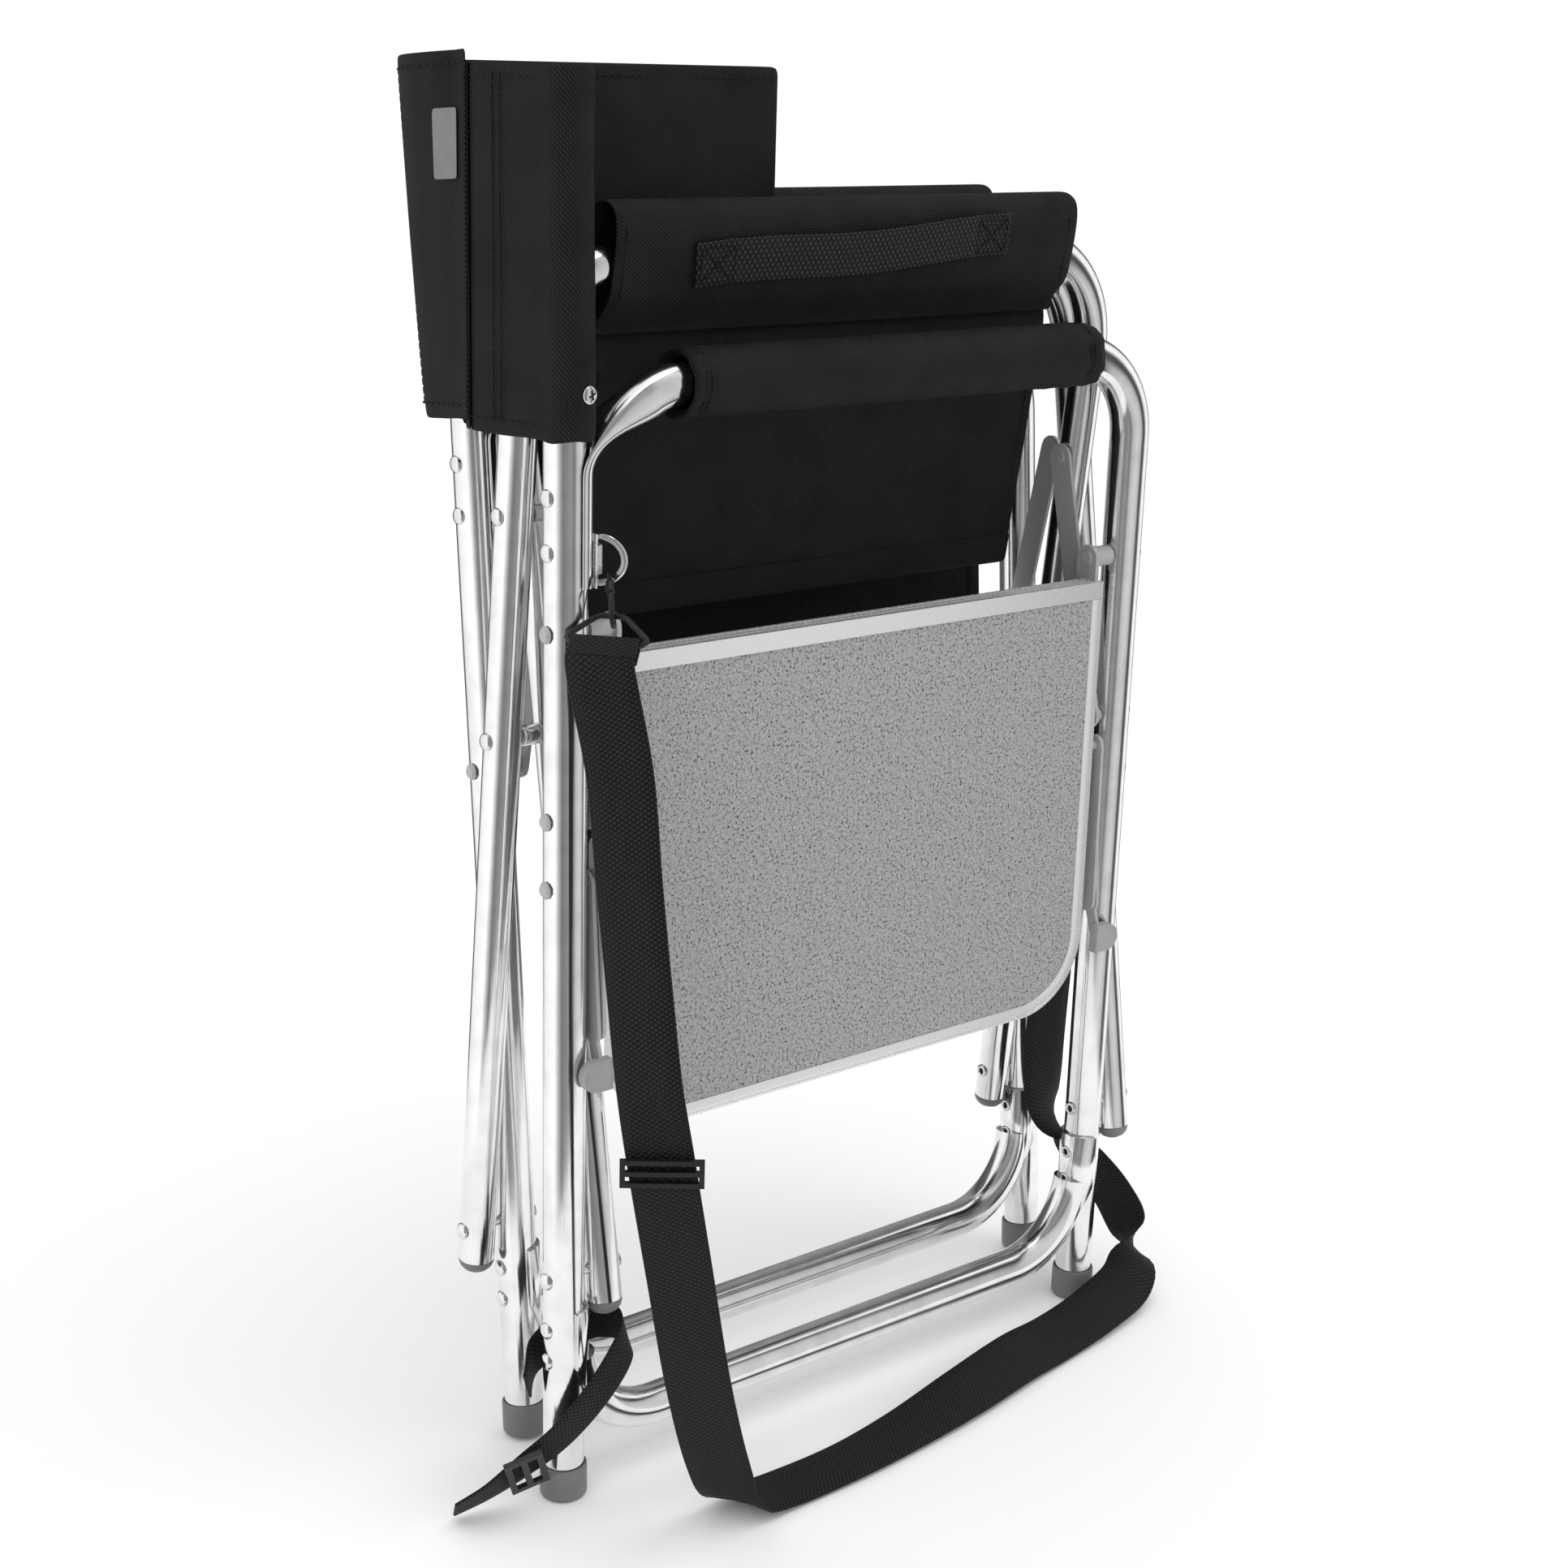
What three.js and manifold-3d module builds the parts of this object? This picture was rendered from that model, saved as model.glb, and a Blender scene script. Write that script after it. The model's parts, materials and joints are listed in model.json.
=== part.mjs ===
// Folding side-table chair: two side frames joined by a scissor of two bent tubes,
// a hung cloth seat and back, a drop table on the right side and a shoulder strap.
// The solids stand folded, as the chair is carried. Millimetres, +Z up, the sitter faces -Y.
import * as THREE from 'three';
import { mergeVertices } from 'three/addons/utils/BufferGeometryUtils.js';
import Module from 'manifold-3d';

const wasm = await Module();
wasm.setup();

// ---- Driving dimensions -------------------------------------------------------------
const GAP = 0.3;            // air between neighbouring pieces
const LEG_R = 12.5;         // 25 mm side-frame tube
const LEG_BORE = 11.2;
const SCISSOR_R = 11;       // 22 mm scissor tube
const SCISSOR_BORE = 9.8;
const LEG_Y = 217;          // half the distance between rear post and front leg
const POST_TOP = 829;
const LEG_BOTTOM = 4;       // the foot cap's floor is below this
const ARM_Z = 668;          // armrest tube centre
const ARM_BEND = 55;
const RAIL_Z = 38;          // floor rail centre
const RAIL_BEND = 60;

const PIVOT_Z = 145;        // lower scissor pivots
const CROSS_X = 53;         // the scissor's crossing, folded
const CROSS_Z = 464;
const FAR_PIVOT_X = 84;
const FAR_SHIFT_Y = -19;    // the far frame sits forward of the near one
const FAR_TILT = THREE.MathUtils.degToRad(5);
const TUBE_OFFSET_Y = 26.5; // scissor tube centre from the leg centre
const SEAT_RAIL_UP = 270;   // seat rail above the crossing, along the tube
const SEAT_BEND = 68;
const TUBE_TAIL = 21;       // tube below its lower pivot

const LINK_LOW_Z = 429;     // seat link pivots
const LINK_UP = 131.7;      // above the crossing, along the scissor tube
const PIN_R = 3;
const HOLE_R = 3.4;

const TABLE_HINGE_Z = 536;
const TABLE_TOP_Z = 522;
const TABLE_BOTTOM_Z = 231;
const TABLE_HALF_W = 190;
const TABLE_OUT_X = -12;    // outer face
const TABLE_IN_X = 0.5;     // inner face
const TABLE_CORNER = 52;
const BRACE_LEG_Z = 389;    // brace pivot on the leg
const BRACE_KNEE = [-7, 300];
const BRACE_TABLE = [-5.5, 410];

const SEAT_Y0 = -170;       // cloth edges, front and rear
const SEAT_Y1 = 172;
const SEAT_FOLD = [63, 527];
const SEAT_TOP_Z = 766;
const BACK_Z0 = 643;
const BACK_Z1 = 836;

const SHIFT = [-69.75, 3.35, 0]; // puts the origin under the middle of the folded chair

// Kinematic angles that the dimensions above give.
const NEAR_TUBE_TILT = Math.atan2(CROSS_X, CROSS_Z - PIVOT_Z);
const FAR_TUBE_TILT = -Math.atan2(FAR_PIVOT_X - CROSS_X, CROSS_Z - PIVOT_Z);
const NEAR_ARM = Math.hypot(CROSS_X, CROSS_Z - PIVOT_Z);
const FAR_ARM = Math.hypot(FAR_PIVOT_X - CROSS_X, CROSS_Z - PIVOT_Z);
const FAR_FOOT_X = FAR_PIVOT_X - PIVOT_Z * Math.tan(FAR_TILT);

const ALUMINIUM = { color: 0xc9cbcd, roughness: 0.22, metalness: 1.0 };
const SATIN = { color: 0xb9bbbd, roughness: 0.4, metalness: 0.9 };
const GREY_BAR = { color: 0x85888b, roughness: 0.5, metalness: 0.6 };
const STEEL = { color: 0xb0b2b4, roughness: 0.25, metalness: 1.0 };
const GREY_PLASTIC = { color: 0x6b6d6f, roughness: 0.6, metalness: 0.0 };
const LAMINATE = { color: 0xb4b4b4, roughness: 0.55, metalness: 0.0 };
const CLOTH = { color: 0x1c1c1d, roughness: 0.9, metalness: 0.0 };
const WEBBING = { color: 0x141414, roughness: 0.85, metalness: 0.0 };
const BLACK_WIRE = { color: 0x191919, roughness: 0.45, metalness: 0.5 };
const BLACK_PLASTIC = { color: 0x171717, roughness: 0.55, metalness: 0.0 };

const chair = new THREE.Group();
chair.position.set(...SHIFT);

// ---- Small tools --------------------------------------------------------------------
function solid(geometry) {
  const bare = geometry.clone();
  bare.deleteAttribute('normal');
  bare.deleteAttribute('uv');
  const merged = mergeVertices(bare, 1e-3);
  return new wasm.Manifold(new wasm.Mesh({
    numProp: 3,
    vertProperties: new Float32Array(merged.attributes.position.array),
    triVerts: new Uint32Array(merged.index.array),
  }));
}

function geometryOf(manifold) {
  const mesh = manifold.getMesh();
  const geometry = new THREE.BufferGeometry();
  geometry.setAttribute('position', new THREE.BufferAttribute(new Float32Array(mesh.vertProperties), 3));
  geometry.setIndex(new THREE.BufferAttribute(new Uint32Array(mesh.triVerts), 1));
  geometry.computeVertexNormals();
  return geometry;
}

function add(parent, name, shape, finish) {
  const geometry = shape.isBufferGeometry ? shape : geometryOf(shape);
  const mesh = new THREE.Mesh(geometry, new THREE.MeshStandardMaterial(finish));
  mesh.name = name;
  parent.add(mesh);
  return mesh;
}

// A route through given points: the section is placed at each point, square to the bend there.
class Route extends THREE.Curve {
  constructor(points, sideways = null) {
    super();
    this.points = points;
    this.sideways = sideways;
  }
  getPoint(t, target = new THREE.Vector3()) {
    return target.copy(this.points[Math.round(t * (this.points.length - 1))]);
  }
  getSpacedPoints() {
    return this.points;
  }
  tangentAt(i) {
    const a = this.points[Math.max(i - 1, 0)];
    const b = this.points[Math.min(i + 1, this.points.length - 1)];
    return b.clone().sub(a).normalize();
  }
  computeFrenetFrames() {
    const tangents = this.points.map((p, i) => this.tangentAt(i));
    const normals = [];
    const binormals = [];
    let across = new THREE.Vector3(1, 0, 0);
    if (Math.abs(tangents[0].x) > 0.9) across.set(0, 1, 0);
    tangents.forEach((tangent, i) => {
      if (this.sideways) across = this.sideways[i].clone();
      across = across.clone().addScaledVector(tangent, -across.dot(tangent)).normalize();
      normals.push(across.clone());
      binormals.push(tangent.clone().cross(across));
    });
    return { tangents, normals, binormals };
  }
}

function circle(radius, sides, turn = 0) {
  const points = [];
  for (let i = 0; i < sides; i += 1) {
    const a = turn + (i * 2 * Math.PI) / sides;
    points.push(new THREE.Vector2(radius * Math.cos(a), radius * Math.sin(a)));
  }
  return points;
}

function tube(points, radius, bore, sides = 14) {
  const section = new THREE.Shape(circle(radius, sides));
  if (bore) section.holes.push(new THREE.Path(circle(bore, 6)));
  const route = new Route(points);
  return new THREE.ExtrudeGeometry(section, { steps: points.length - 1, extrudePath: route, curveSegments: 1 });
}

// Points of a bend from angle a to angle b about a centre in the YZ plane.
function bend(cy, cz, r, a, b, steps = 6) {
  const points = [];
  for (let i = 0; i <= steps; i += 1) {
    const t = THREE.MathUtils.degToRad(a + ((b - a) * i) / steps);
    points.push(new THREE.Vector3(0, cy + r * Math.cos(t), cz + r * Math.sin(t)));
  }
  return points;
}

function v(x, y, z) {
  return new THREE.Vector3(x, y, z);
}

function squareTo(across, along) {
  return along.clone().addScaledVector(across, -across.dot(along)).normalize();
}

// A round bar between two heights or two depths.
function barY(x, z, r, y0, y1, sides = 16) {
  const geometry = new THREE.CylinderGeometry(r, r, y1 - y0, sides);
  geometry.translate(x, (y0 + y1) / 2, 0);
  return geometry.translate(0, 0, z);
}

function barZ(x, y, r, z0, z1, sides = 20) {
  const geometry = new THREE.CylinderGeometry(r, r, z1 - z0, sides);
  geometry.rotateX(Math.PI / 2);
  return geometry.translate(x, y, (z0 + z1) / 2);
}

function box(x0, x1, y0, y1, z0, z1) {
  const geometry = new THREE.BoxGeometry(x1 - x0, y1 - y0, z1 - z0);
  return geometry.translate((x0 + x1) / 2, (y0 + y1) / 2, (z0 + z1) / 2);
}

function drill(body, holes) {
  return holes.reduce((rest, [x, z, y0, y1]) => rest.subtract(solid(barY(x, z, HOLE_R, y0, y1, 12))), body);
}

// A profile drawn in XZ and extruded along Y from y0 to y1.
function alongY(outline, y0, y1, holes = []) {
  const shape = new THREE.Shape(outline.map(([x, z]) => new THREE.Vector2(x, z)));
  holes.forEach((h) => shape.holes.push(new THREE.Path(h.map(([x, z]) => new THREE.Vector2(x, z)))));
  const geometry = new THREE.ExtrudeGeometry(shape, { depth: y1 - y0, bevelEnabled: false });
  geometry.rotateX(Math.PI / 2);
  return geometry.translate(0, y1, 0);
}

// A profile drawn in XY and extruded up from z0 to z1.
function upward(outline, z0, z1, holes = []) {
  const shape = new THREE.Shape(outline.map(([x, y]) => new THREE.Vector2(x, y)));
  holes.forEach((h) => shape.holes.push(new THREE.Path(h.map(([x, y]) => new THREE.Vector2(x, y)))));
  const geometry = new THREE.ExtrudeGeometry(shape, { depth: z1 - z0, bevelEnabled: false });
  return geometry.translate(0, 0, z0);
}

function arc(cx, cy, r, a, b, steps) {
  const points = [];
  for (let i = 0; i <= steps; i += 1) {
    const t = THREE.MathUtils.degToRad(a + ((b - a) * i) / steps);
    points.push([cx + r * Math.cos(t), cy + r * Math.sin(t)]);
  }
  return points;
}

// The outline of a flat bar with round ends between two pivots.
function barOutline([ax, az], [bx, bz], half, steps = 6) {
  const turn = THREE.MathUtils.radToDeg(Math.atan2(bz - az, bx - ax));
  return [...arc(ax, az, half, turn + 90, turn + 270, steps), ...arc(bx, bz, half, turn - 90, turn + 90, steps)];
}

// A turned body standing on the Y axis: profile rows are radius and distance along Y.
function turnedY(x, z, y, way, profile, sides = 10) {
  const geometry = new THREE.LatheGeometry(profile.map(([r, d]) => new THREE.Vector2(r, d)), sides);
  if (way < 0) geometry.rotateZ(Math.PI);
  return solid(geometry.translate(x, y, z));
}

// A rivet along Y: domed head outside y1, flat collar outside y0; the other way round for the front.
function rivet(x, z, y0, y1, headRear = true) {
  const dome = [[0, -0.4], [5.2, -0.4], [5.2, 0.3], [3.5, 1.9], [0, 2.4]];
  const collar = [[0, -0.4], [4.4, -0.4], [4.4, 0.8], [0, 0.8]];
  const shank = solid(barY(x, z, PIN_R, y0, y1, 12));
  return shank.add(turnedY(x, z, y1 + 0.4, 1, headRear ? dome : collar))
    .add(turnedY(x, z, y0 - 0.4, -1, headRear ? collar : dome));
}

// ---- Side frames --------------------------------------------------------------------
// Half-shell that wraps a leg on one side of it; side is +1 towards +Y and -1 towards -Y.
function saddleShell(y, side, z0, z1) {
  const inner = LEG_R + GAP;
  const outer = inner + 1.6;
  const a0 = side > 0 ? 4 : 184;
  const outline = [...arc(0, y, outer, a0, a0 + 172, 10), ...arc(0, y, inner, a0 + 172, a0, 8)];
  return solid(upward(outline, z0, z1));
}

function legCut(y) {
  return solid(barZ(0, y, LEG_R + GAP, -5, 900));
}

function post(holes) {
  const points = [v(0, LEG_Y, LEG_BOTTOM), v(0, LEG_Y, POST_TOP)];
  return drill(solid(tube(points, LEG_R, LEG_BORE)), holes.map((z) => [0, z, LEG_Y - 20, LEG_Y + 20]));
}

// Front leg and armrest in one bent tube, its rear end saddled on the rear post.
function armTube(holes) {
  const rearBend = 60;
  const rearY = LEG_Y - 20.5;
  const points = [
    v(0, -LEG_Y, LEG_BOTTOM),
    ...bend(-LEG_Y + ARM_BEND, ARM_Z - ARM_BEND, ARM_BEND, 180, 90),
    ...bend(rearY - rearBend, ARM_Z - rearBend, rearBend, 90, 0),
    v(0, rearY, ARM_Z - rearBend - 14),
  ];
  const body = solid(tube(points, LEG_R, LEG_BORE)).add(saddleShell(LEG_Y, -1, 562, 634));
  return drill(body.subtract(legCut(LEG_Y)), holes.map((z) => [0, z, -LEG_Y - 20, -LEG_Y + 20]));
}

function floorRail() {
  const endY = LEG_Y - 5;
  const points = [
    ...bend(-endY + RAIL_BEND, RAIL_Z + RAIL_BEND, RAIL_BEND, 180, 270),
    ...bend(endY - RAIL_BEND, RAIL_Z + RAIL_BEND, RAIL_BEND, 270, 360),
  ];
  const shells = saddleShell(LEG_Y, -1, 64, 126).add(saddleShell(-LEG_Y, 1, 64, 126));
  return solid(tube(points, LEG_R, LEG_BORE)).add(shells).subtract(legCut(LEG_Y)).subtract(legCut(-LEG_Y));
}

function footCap(y) {
  const profile = [[0, 0], [13, 0], [14.4, 1.6], [14.2, 21], [LEG_R + GAP, 21], [LEG_R + GAP, 3.6], [0, 3.6]];
  const geometry = new THREE.LatheGeometry(profile.map(([r, z]) => new THREE.Vector2(r, z)), 16);
  geometry.rotateX(Math.PI / 2);
  return geometry.translate(0, y, 0);
}

function postPlug() {
  const profile = [[0, -12], [9.4, -12], [9.4, GAP], [12.4, GAP], [12.4, 1.6], [9, 4.2], [0, 5.4]];
  const geometry = new THREE.LatheGeometry(profile.map(([r, z]) => new THREE.Vector2(r, z)), 16);
  geometry.rotateX(Math.PI / 2);
  return geometry.translate(0, LEG_Y, POST_TOP);
}

// Padded cloth roll on the armrest, a sleeve round the tube.
function armPad() {
  const points = [v(0, -LEG_Y + ARM_BEND, ARM_Z), v(0, LEG_Y - 80.5, ARM_Z)];
  const section = new THREE.Shape(circle(20, 20));
  section.holes.push(new THREE.Path(circle(LEG_R + 0.9, 16)));
  return new THREE.ExtrudeGeometry(section, { steps: 1, extrudePath: new Route(points), curveSegments: 1 });
}

function sideFrame(parent, prefix, postHoles, legHoles) {
  add(parent, `${prefix}_rear_post`, post(postHoles), ALUMINIUM);
  add(parent, `${prefix}_arm_tube`, armTube(legHoles), ALUMINIUM);
  add(parent, `${prefix}_floor_rail`, floorRail(), ALUMINIUM);
  add(parent, `${prefix}_rear_foot`, footCap(LEG_Y), GREY_PLASTIC);
  add(parent, `${prefix}_front_foot`, footCap(-LEG_Y), GREY_PLASTIC);
  add(parent, `${prefix}_post_plug`, postPlug(), GREY_PLASTIC);
  add(parent, `${prefix}_arm_pad`, armPad(), CLOTH);
}

const nearFrame = new THREE.Group();
chair.add(nearFrame);
sideFrame(nearFrame, 'near', [PIVOT_Z, LINK_LOW_Z, BRACE_LEG_Z, TABLE_HINGE_Z],
  [PIVOT_Z, LINK_LOW_Z, BRACE_LEG_Z, TABLE_HINGE_Z]);

const farFrame = new THREE.Group();
farFrame.position.set(FAR_FOOT_X, FAR_SHIFT_Y, 14.4 * Math.sin(FAR_TILT));
farFrame.rotation.y = FAR_TILT;
chair.add(farFrame);
const FAR_PIVOT_LOCAL = (PIVOT_Z - farFrame.position.z) / Math.cos(FAR_TILT);
sideFrame(farFrame, 'far', [FAR_PIVOT_LOCAL, LINK_LOW_Z], [FAR_PIVOT_LOCAL, LINK_LOW_Z]);

// ---- Scissor ------------------------------------------------------------------------
// A bent U of tube, standing on its two lower pivots, in its own upright frame.
function seatTube(arm, yRear, yFront) {
  const top = arm + SEAT_RAIL_UP;
  const points = [
    v(0, yFront, -TUBE_TAIL),
    ...bend(yFront + SEAT_BEND, top - SEAT_BEND, SEAT_BEND, 180, 90),
    ...bend(yRear - SEAT_BEND, top - SEAT_BEND, SEAT_BEND, 90, 0),
    v(0, yRear, -TUBE_TAIL),
  ];
  const holes = [0, arm].flatMap((z) => [
    [0, z, yRear - 16, yRear + 16],
    [0, z, yFront - 16, yFront + 16],
  ]);
  const dome = [[0, -0.6], [5.2, -0.6], [5.2, 0.5], [3.5, 1.9], [0, 2.4]];
  const body = drill(solid(tube(points, SCISSOR_R, SCISSOR_BORE, 16)), holes);
  // The head of the link's rivet shows on the tube's outer side.
  const outside = yFront < -230 ? turnedY(0, arm + LINK_UP, yFront - SCISSOR_R, -1, dome)
    : turnedY(0, arm + LINK_UP, yRear + SCISSOR_R, 1, dome);
  return body.add(outside);
}

function endDome(y) {
  const profile = [[0, 10], [8.4, 10], [8.4, -GAP], [10.9, -GAP], [10.4, -3], [7, -7.4], [0, -9.2]];
  const geometry = new THREE.LatheGeometry(profile.reverse().map(([r, z]) => new THREE.Vector2(r, z)), 14);
  geometry.rotateX(Math.PI / 2);
  return geometry.translate(0, y, -TUBE_TAIL);
}

const NEAR_REAR_Y = LEG_Y - TUBE_OFFSET_Y;               // in front of the near rear post
const NEAR_FRONT_Y = -LEG_Y - TUBE_OFFSET_Y;             // in front of the near front leg
const FAR_REAR_Y = LEG_Y + FAR_SHIFT_Y + TUBE_OFFSET_Y;  // behind the far rear post
const FAR_FRONT_Y = -LEG_Y + FAR_SHIFT_Y + TUBE_OFFSET_Y;

function scissorHalf(name, pivotX, tilt, arm, yRear, yFront) {
  const half = new THREE.Group();
  half.position.set(pivotX, 0, PIVOT_Z);
  half.rotation.y = tilt;
  chair.add(half);
  add(half, `${name}_tube`, seatTube(arm, yRear, yFront), ALUMINIUM);
  add(half, `${name}_rear_cap`, endDome(yRear), GREY_PLASTIC);
  add(half, `${name}_front_cap`, endDome(yFront), GREY_PLASTIC);
  return half;
}

scissorHalf('near_foot_seat', 0, NEAR_TUBE_TILT, NEAR_ARM, NEAR_REAR_Y, NEAR_FRONT_Y);
scissorHalf('far_foot_seat', FAR_PIVOT_X, FAR_TUBE_TILT, FAR_ARM, FAR_REAR_Y, FAR_FRONT_Y);

// Pivot pins: lower ones through leg and tube, crossing ones with a spacer between the tubes.
const legReach = LEG_R + GAP;
const tubeReach = SCISSOR_R + GAP;
add(chair, 'near_rear_pivot', rivet(0, PIVOT_Z, NEAR_REAR_Y - tubeReach, LEG_Y + legReach), STEEL);
add(chair, 'near_front_pivot', rivet(0, PIVOT_Z, NEAR_FRONT_Y - tubeReach, -LEG_Y + legReach), STEEL);
add(chair, 'far_rear_pivot',
  rivet(FAR_PIVOT_X, PIVOT_Z, LEG_Y + FAR_SHIFT_Y - legReach, FAR_REAR_Y + tubeReach), STEEL);
add(chair, 'far_front_pivot',
  rivet(FAR_PIVOT_X, PIVOT_Z, -LEG_Y + FAR_SHIFT_Y - legReach, FAR_FRONT_Y + tubeReach), STEEL);

function crossingPin(yNear, yFar) {
  const spacer = solid(barY(CROSS_X, CROSS_Z, 6, yNear + SCISSOR_R + 0.5, yFar - SCISSOR_R - 0.5, 16));
  return rivet(CROSS_X, CROSS_Z, yNear - tubeReach, yFar + tubeReach).add(spacer);
}
add(chair, 'rear_crossing_pin', crossingPin(NEAR_REAR_Y, FAR_REAR_Y), STEEL);
add(chair, 'front_crossing_pin', crossingPin(NEAR_FRONT_Y, FAR_FRONT_Y), STEEL);

// ---- Seat links ---------------------------------------------------------------------
// A flat bar from a leg pivot up to a scissor tube. It is riveted through the leg; its upper boss
// stands against the tube with a fine gap, so that the closed linkage is open at that pivot.
function seatLink(low, high, y0, y1, legFace, tubeFace, pin0, pin1, pinRear) {
  const bar = solid(alongY(barOutline(low, high, 8.5), y0, y1));
  const lowBoss = solid(barY(low[0], low[1], 5, Math.min(y0, legFace), Math.max(y1, legFace), 12));
  const highBoss = solid(barY(high[0], high[1], 5, Math.min(y0, tubeFace), Math.max(y1, tubeFace), 12));
  const head = turnedY(high[0], high[1], tubeFace > y0 ? y0 : y1, tubeFace > y0 ? -1 : 1,
    [[0, -0.4], [4.4, -0.4], [4.4, 0.8], [0, 0.8]]);
  return bar.add(lowBoss).add(highBoss).add(head).add(rivet(low[0], low[1], pin0, pin1, pinRear));
}

function onTube(pivotX, tilt, arm) {
  const along = arm + LINK_UP;
  return [pivotX + along * Math.sin(tilt), PIVOT_Z + along * Math.cos(tilt)];
}
function onFarFrame(z) {
  return [FAR_FOOT_X + z * Math.sin(FAR_TILT), farFrame.position.z + z * Math.cos(FAR_TILT)];
}

const nearLinkLow = [0, LINK_LOW_Z];
const farLinkLow = onFarFrame(LINK_LOW_Z);
const onFarTube = onTube(FAR_PIVOT_X, FAR_TUBE_TILT, FAR_ARM);
const onNearTube = onTube(0, NEAR_TUBE_TILT, NEAR_ARM);
const farRearLeg = LEG_Y + FAR_SHIFT_Y;
const farFrontLeg = -LEG_Y + FAR_SHIFT_Y;

add(chair, 'near_rear_link', seatLink(nearLinkLow, onFarTube, 201.8, 204.2,
  204.3, FAR_REAR_Y - SCISSOR_R - 0.5, 202.2, LEG_Y + legReach, true), GREY_BAR);
add(chair, 'near_front_link', seatLink(nearLinkLow, onFarTube, -197.8, -195.4,
  -LEG_Y + LEG_R + 0.5, FAR_FRONT_Y + SCISSOR_R + 0.5, -LEG_Y - legReach, -195.8, false), GREY_BAR);
add(chair, 'far_rear_link', seatLink(farLinkLow, onNearTube, 176.4, 178.8,
  farRearLeg - LEG_R - 0.5, NEAR_REAR_Y - SCISSOR_R - 0.5, 176.8, farRearLeg + legReach, true), GREY_BAR);
add(chair, 'far_front_link', seatLink(farLinkLow, onNearTube, -223.2, -220.8,
  -223.3, NEAR_FRONT_Y + SCISSOR_R + 0.5, farFrontLeg - legReach, -221.2, false), GREY_BAR);

// ---- Seat cloth ---------------------------------------------------------------------
const nearRail = [FAR_PIVOT_X + (FAR_ARM + SEAT_RAIL_UP) * Math.sin(FAR_TUBE_TILT),
  PIVOT_Z + (FAR_ARM + SEAT_RAIL_UP) * Math.cos(FAR_TUBE_TILT)];
const farRail = [(NEAR_ARM + SEAT_RAIL_UP) * Math.sin(NEAR_TUBE_TILT),
  PIVOT_Z + (NEAR_ARM + SEAT_RAIL_UP) * Math.cos(NEAR_TUBE_TILT)];

// One half of the seat: a sleeve that stands round the rail and the hanging cloth below it.
function seatPanel([railX, railZ], foldX) {
  const lean = Math.atan2(foldX - railX, railZ - SEAT_FOLD[1]);
  const skin = 1.8;
  const inner = SCISSOR_R + 1.2;
  const top = SEAT_TOP_Z - railZ - inner - skin;
  const low = -34;
  const outer = inner + skin;
  const seam = -52;
  const foot = -(railZ - SEAT_FOLD[1]) / Math.cos(lean);
  const outside = [[1.4, foot], [1.4, seam], [outer, low], ...arc(0, top, outer, 0, 180, 10), [-outer, low],
    [-1.4, seam], [-1.4, foot]];
  const inside = [[inner, low], ...arc(0, top, inner, 0, 180, 10), [-inner, low], [0, seam + 6]];
  const geometry = alongY(outside, SEAT_Y0, SEAT_Y1, [inside]);
  geometry.rotateY(-lean);
  return geometry.translate(railX, 0, railZ);
}
add(chair, 'seat_near_panel', seatPanel(nearRail, SEAT_FOLD[0] - 2.2), CLOTH);
add(chair, 'seat_far_panel', seatPanel(farRail, SEAT_FOLD[0] + 2.2), CLOTH);

// Webbing carry handle sewn to the outer face of the near sleeve, a little higher at its front.
function handle() {
  const lean = Math.atan2(SEAT_FOLD[0] - 2.2 - nearRail[0], nearRail[1] - SEAT_FOLD[1]);
  const x = -SCISSOR_R - 3 - GAP;
  const strap = box(x - 2.4, x, -116, 116, -8, 18);
  strap.rotateX(THREE.MathUtils.degToRad(2));
  strap.translate(0, 6, 0);
  strap.rotateY(-lean);
  return strap.translate(nearRail[0], 0, nearRail[1]);
}
add(chair, 'carry_handle', handle(), WEBBING);

// ---- Back cloth ---------------------------------------------------------------------
// A closed strip of cloth seen from above, along a run of points.
function strip(points, half) {
  const side = (sign) => points.map(([x, y], i) => {
    const [ax, ay] = points[Math.max(i - 1, 0)];
    const [bx, by] = points[Math.min(i + 1, points.length - 1)];
    const long = Math.hypot(bx - ax, by - ay);
    return [x - (sign * half * (by - ay)) / long, y + (sign * half * (bx - ax)) / long];
  });
  return [...side(1), ...side(-1).reverse()];
}

// The sleeve round a post with its cloth tail; lean shears the tail's free end back upright.
function backSleeve(y, tail, lean = 0) {
  const ring = new THREE.Shape(circle(15.4, 20));
  ring.holes.push(new THREE.Path(circle(13.4, 16)));
  const round = new THREE.ExtrudeGeometry(ring, { depth: BACK_Z1 - BACK_Z0, bevelEnabled: false });
  round.translate(0, y, BACK_Z0);
  const flat = upward(strip(tail, 1.2), BACK_Z0, BACK_Z1);
  const place = flat.attributes.position;
  const end = tail[tail.length - 1][0];
  for (let i = 0; i < place.count; i += 1) {
    const share = THREE.MathUtils.clamp(place.getX(i) / end, 0, 1);
    place.setX(i, place.getX(i) - share * Math.tan(lean) * (place.getZ(i) - (BACK_Z0 + BACK_Z1) / 2));
  }
  return solid(round).add(solid(flat));
}

const BACK_SEAM_NEAR = [54, 244];
const BACK_FOLD = [62, 30];
const BACK_SEAM_FAR = [72, 243];
add(chair, 'back_near_sleeve', backSleeve(LEG_Y, [[1, LEG_Y + 14.6], [28, 239.4], BACK_SEAM_NEAR]), CLOTH);
add(chair, 'back_near_panel',
  upward(strip([[56.4, 241.6], [BACK_FOLD[0] - 1.6, BACK_FOLD[1]]], 1.1), BACK_Z0, BACK_Z1), CLOTH);
add(chair, 'back_far_panel',
  upward(strip([[BACK_FOLD[0] + 1.6, BACK_FOLD[1]], [68.6, 241]], 1.1), BACK_Z0, BACK_Z1), CLOTH);

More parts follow.
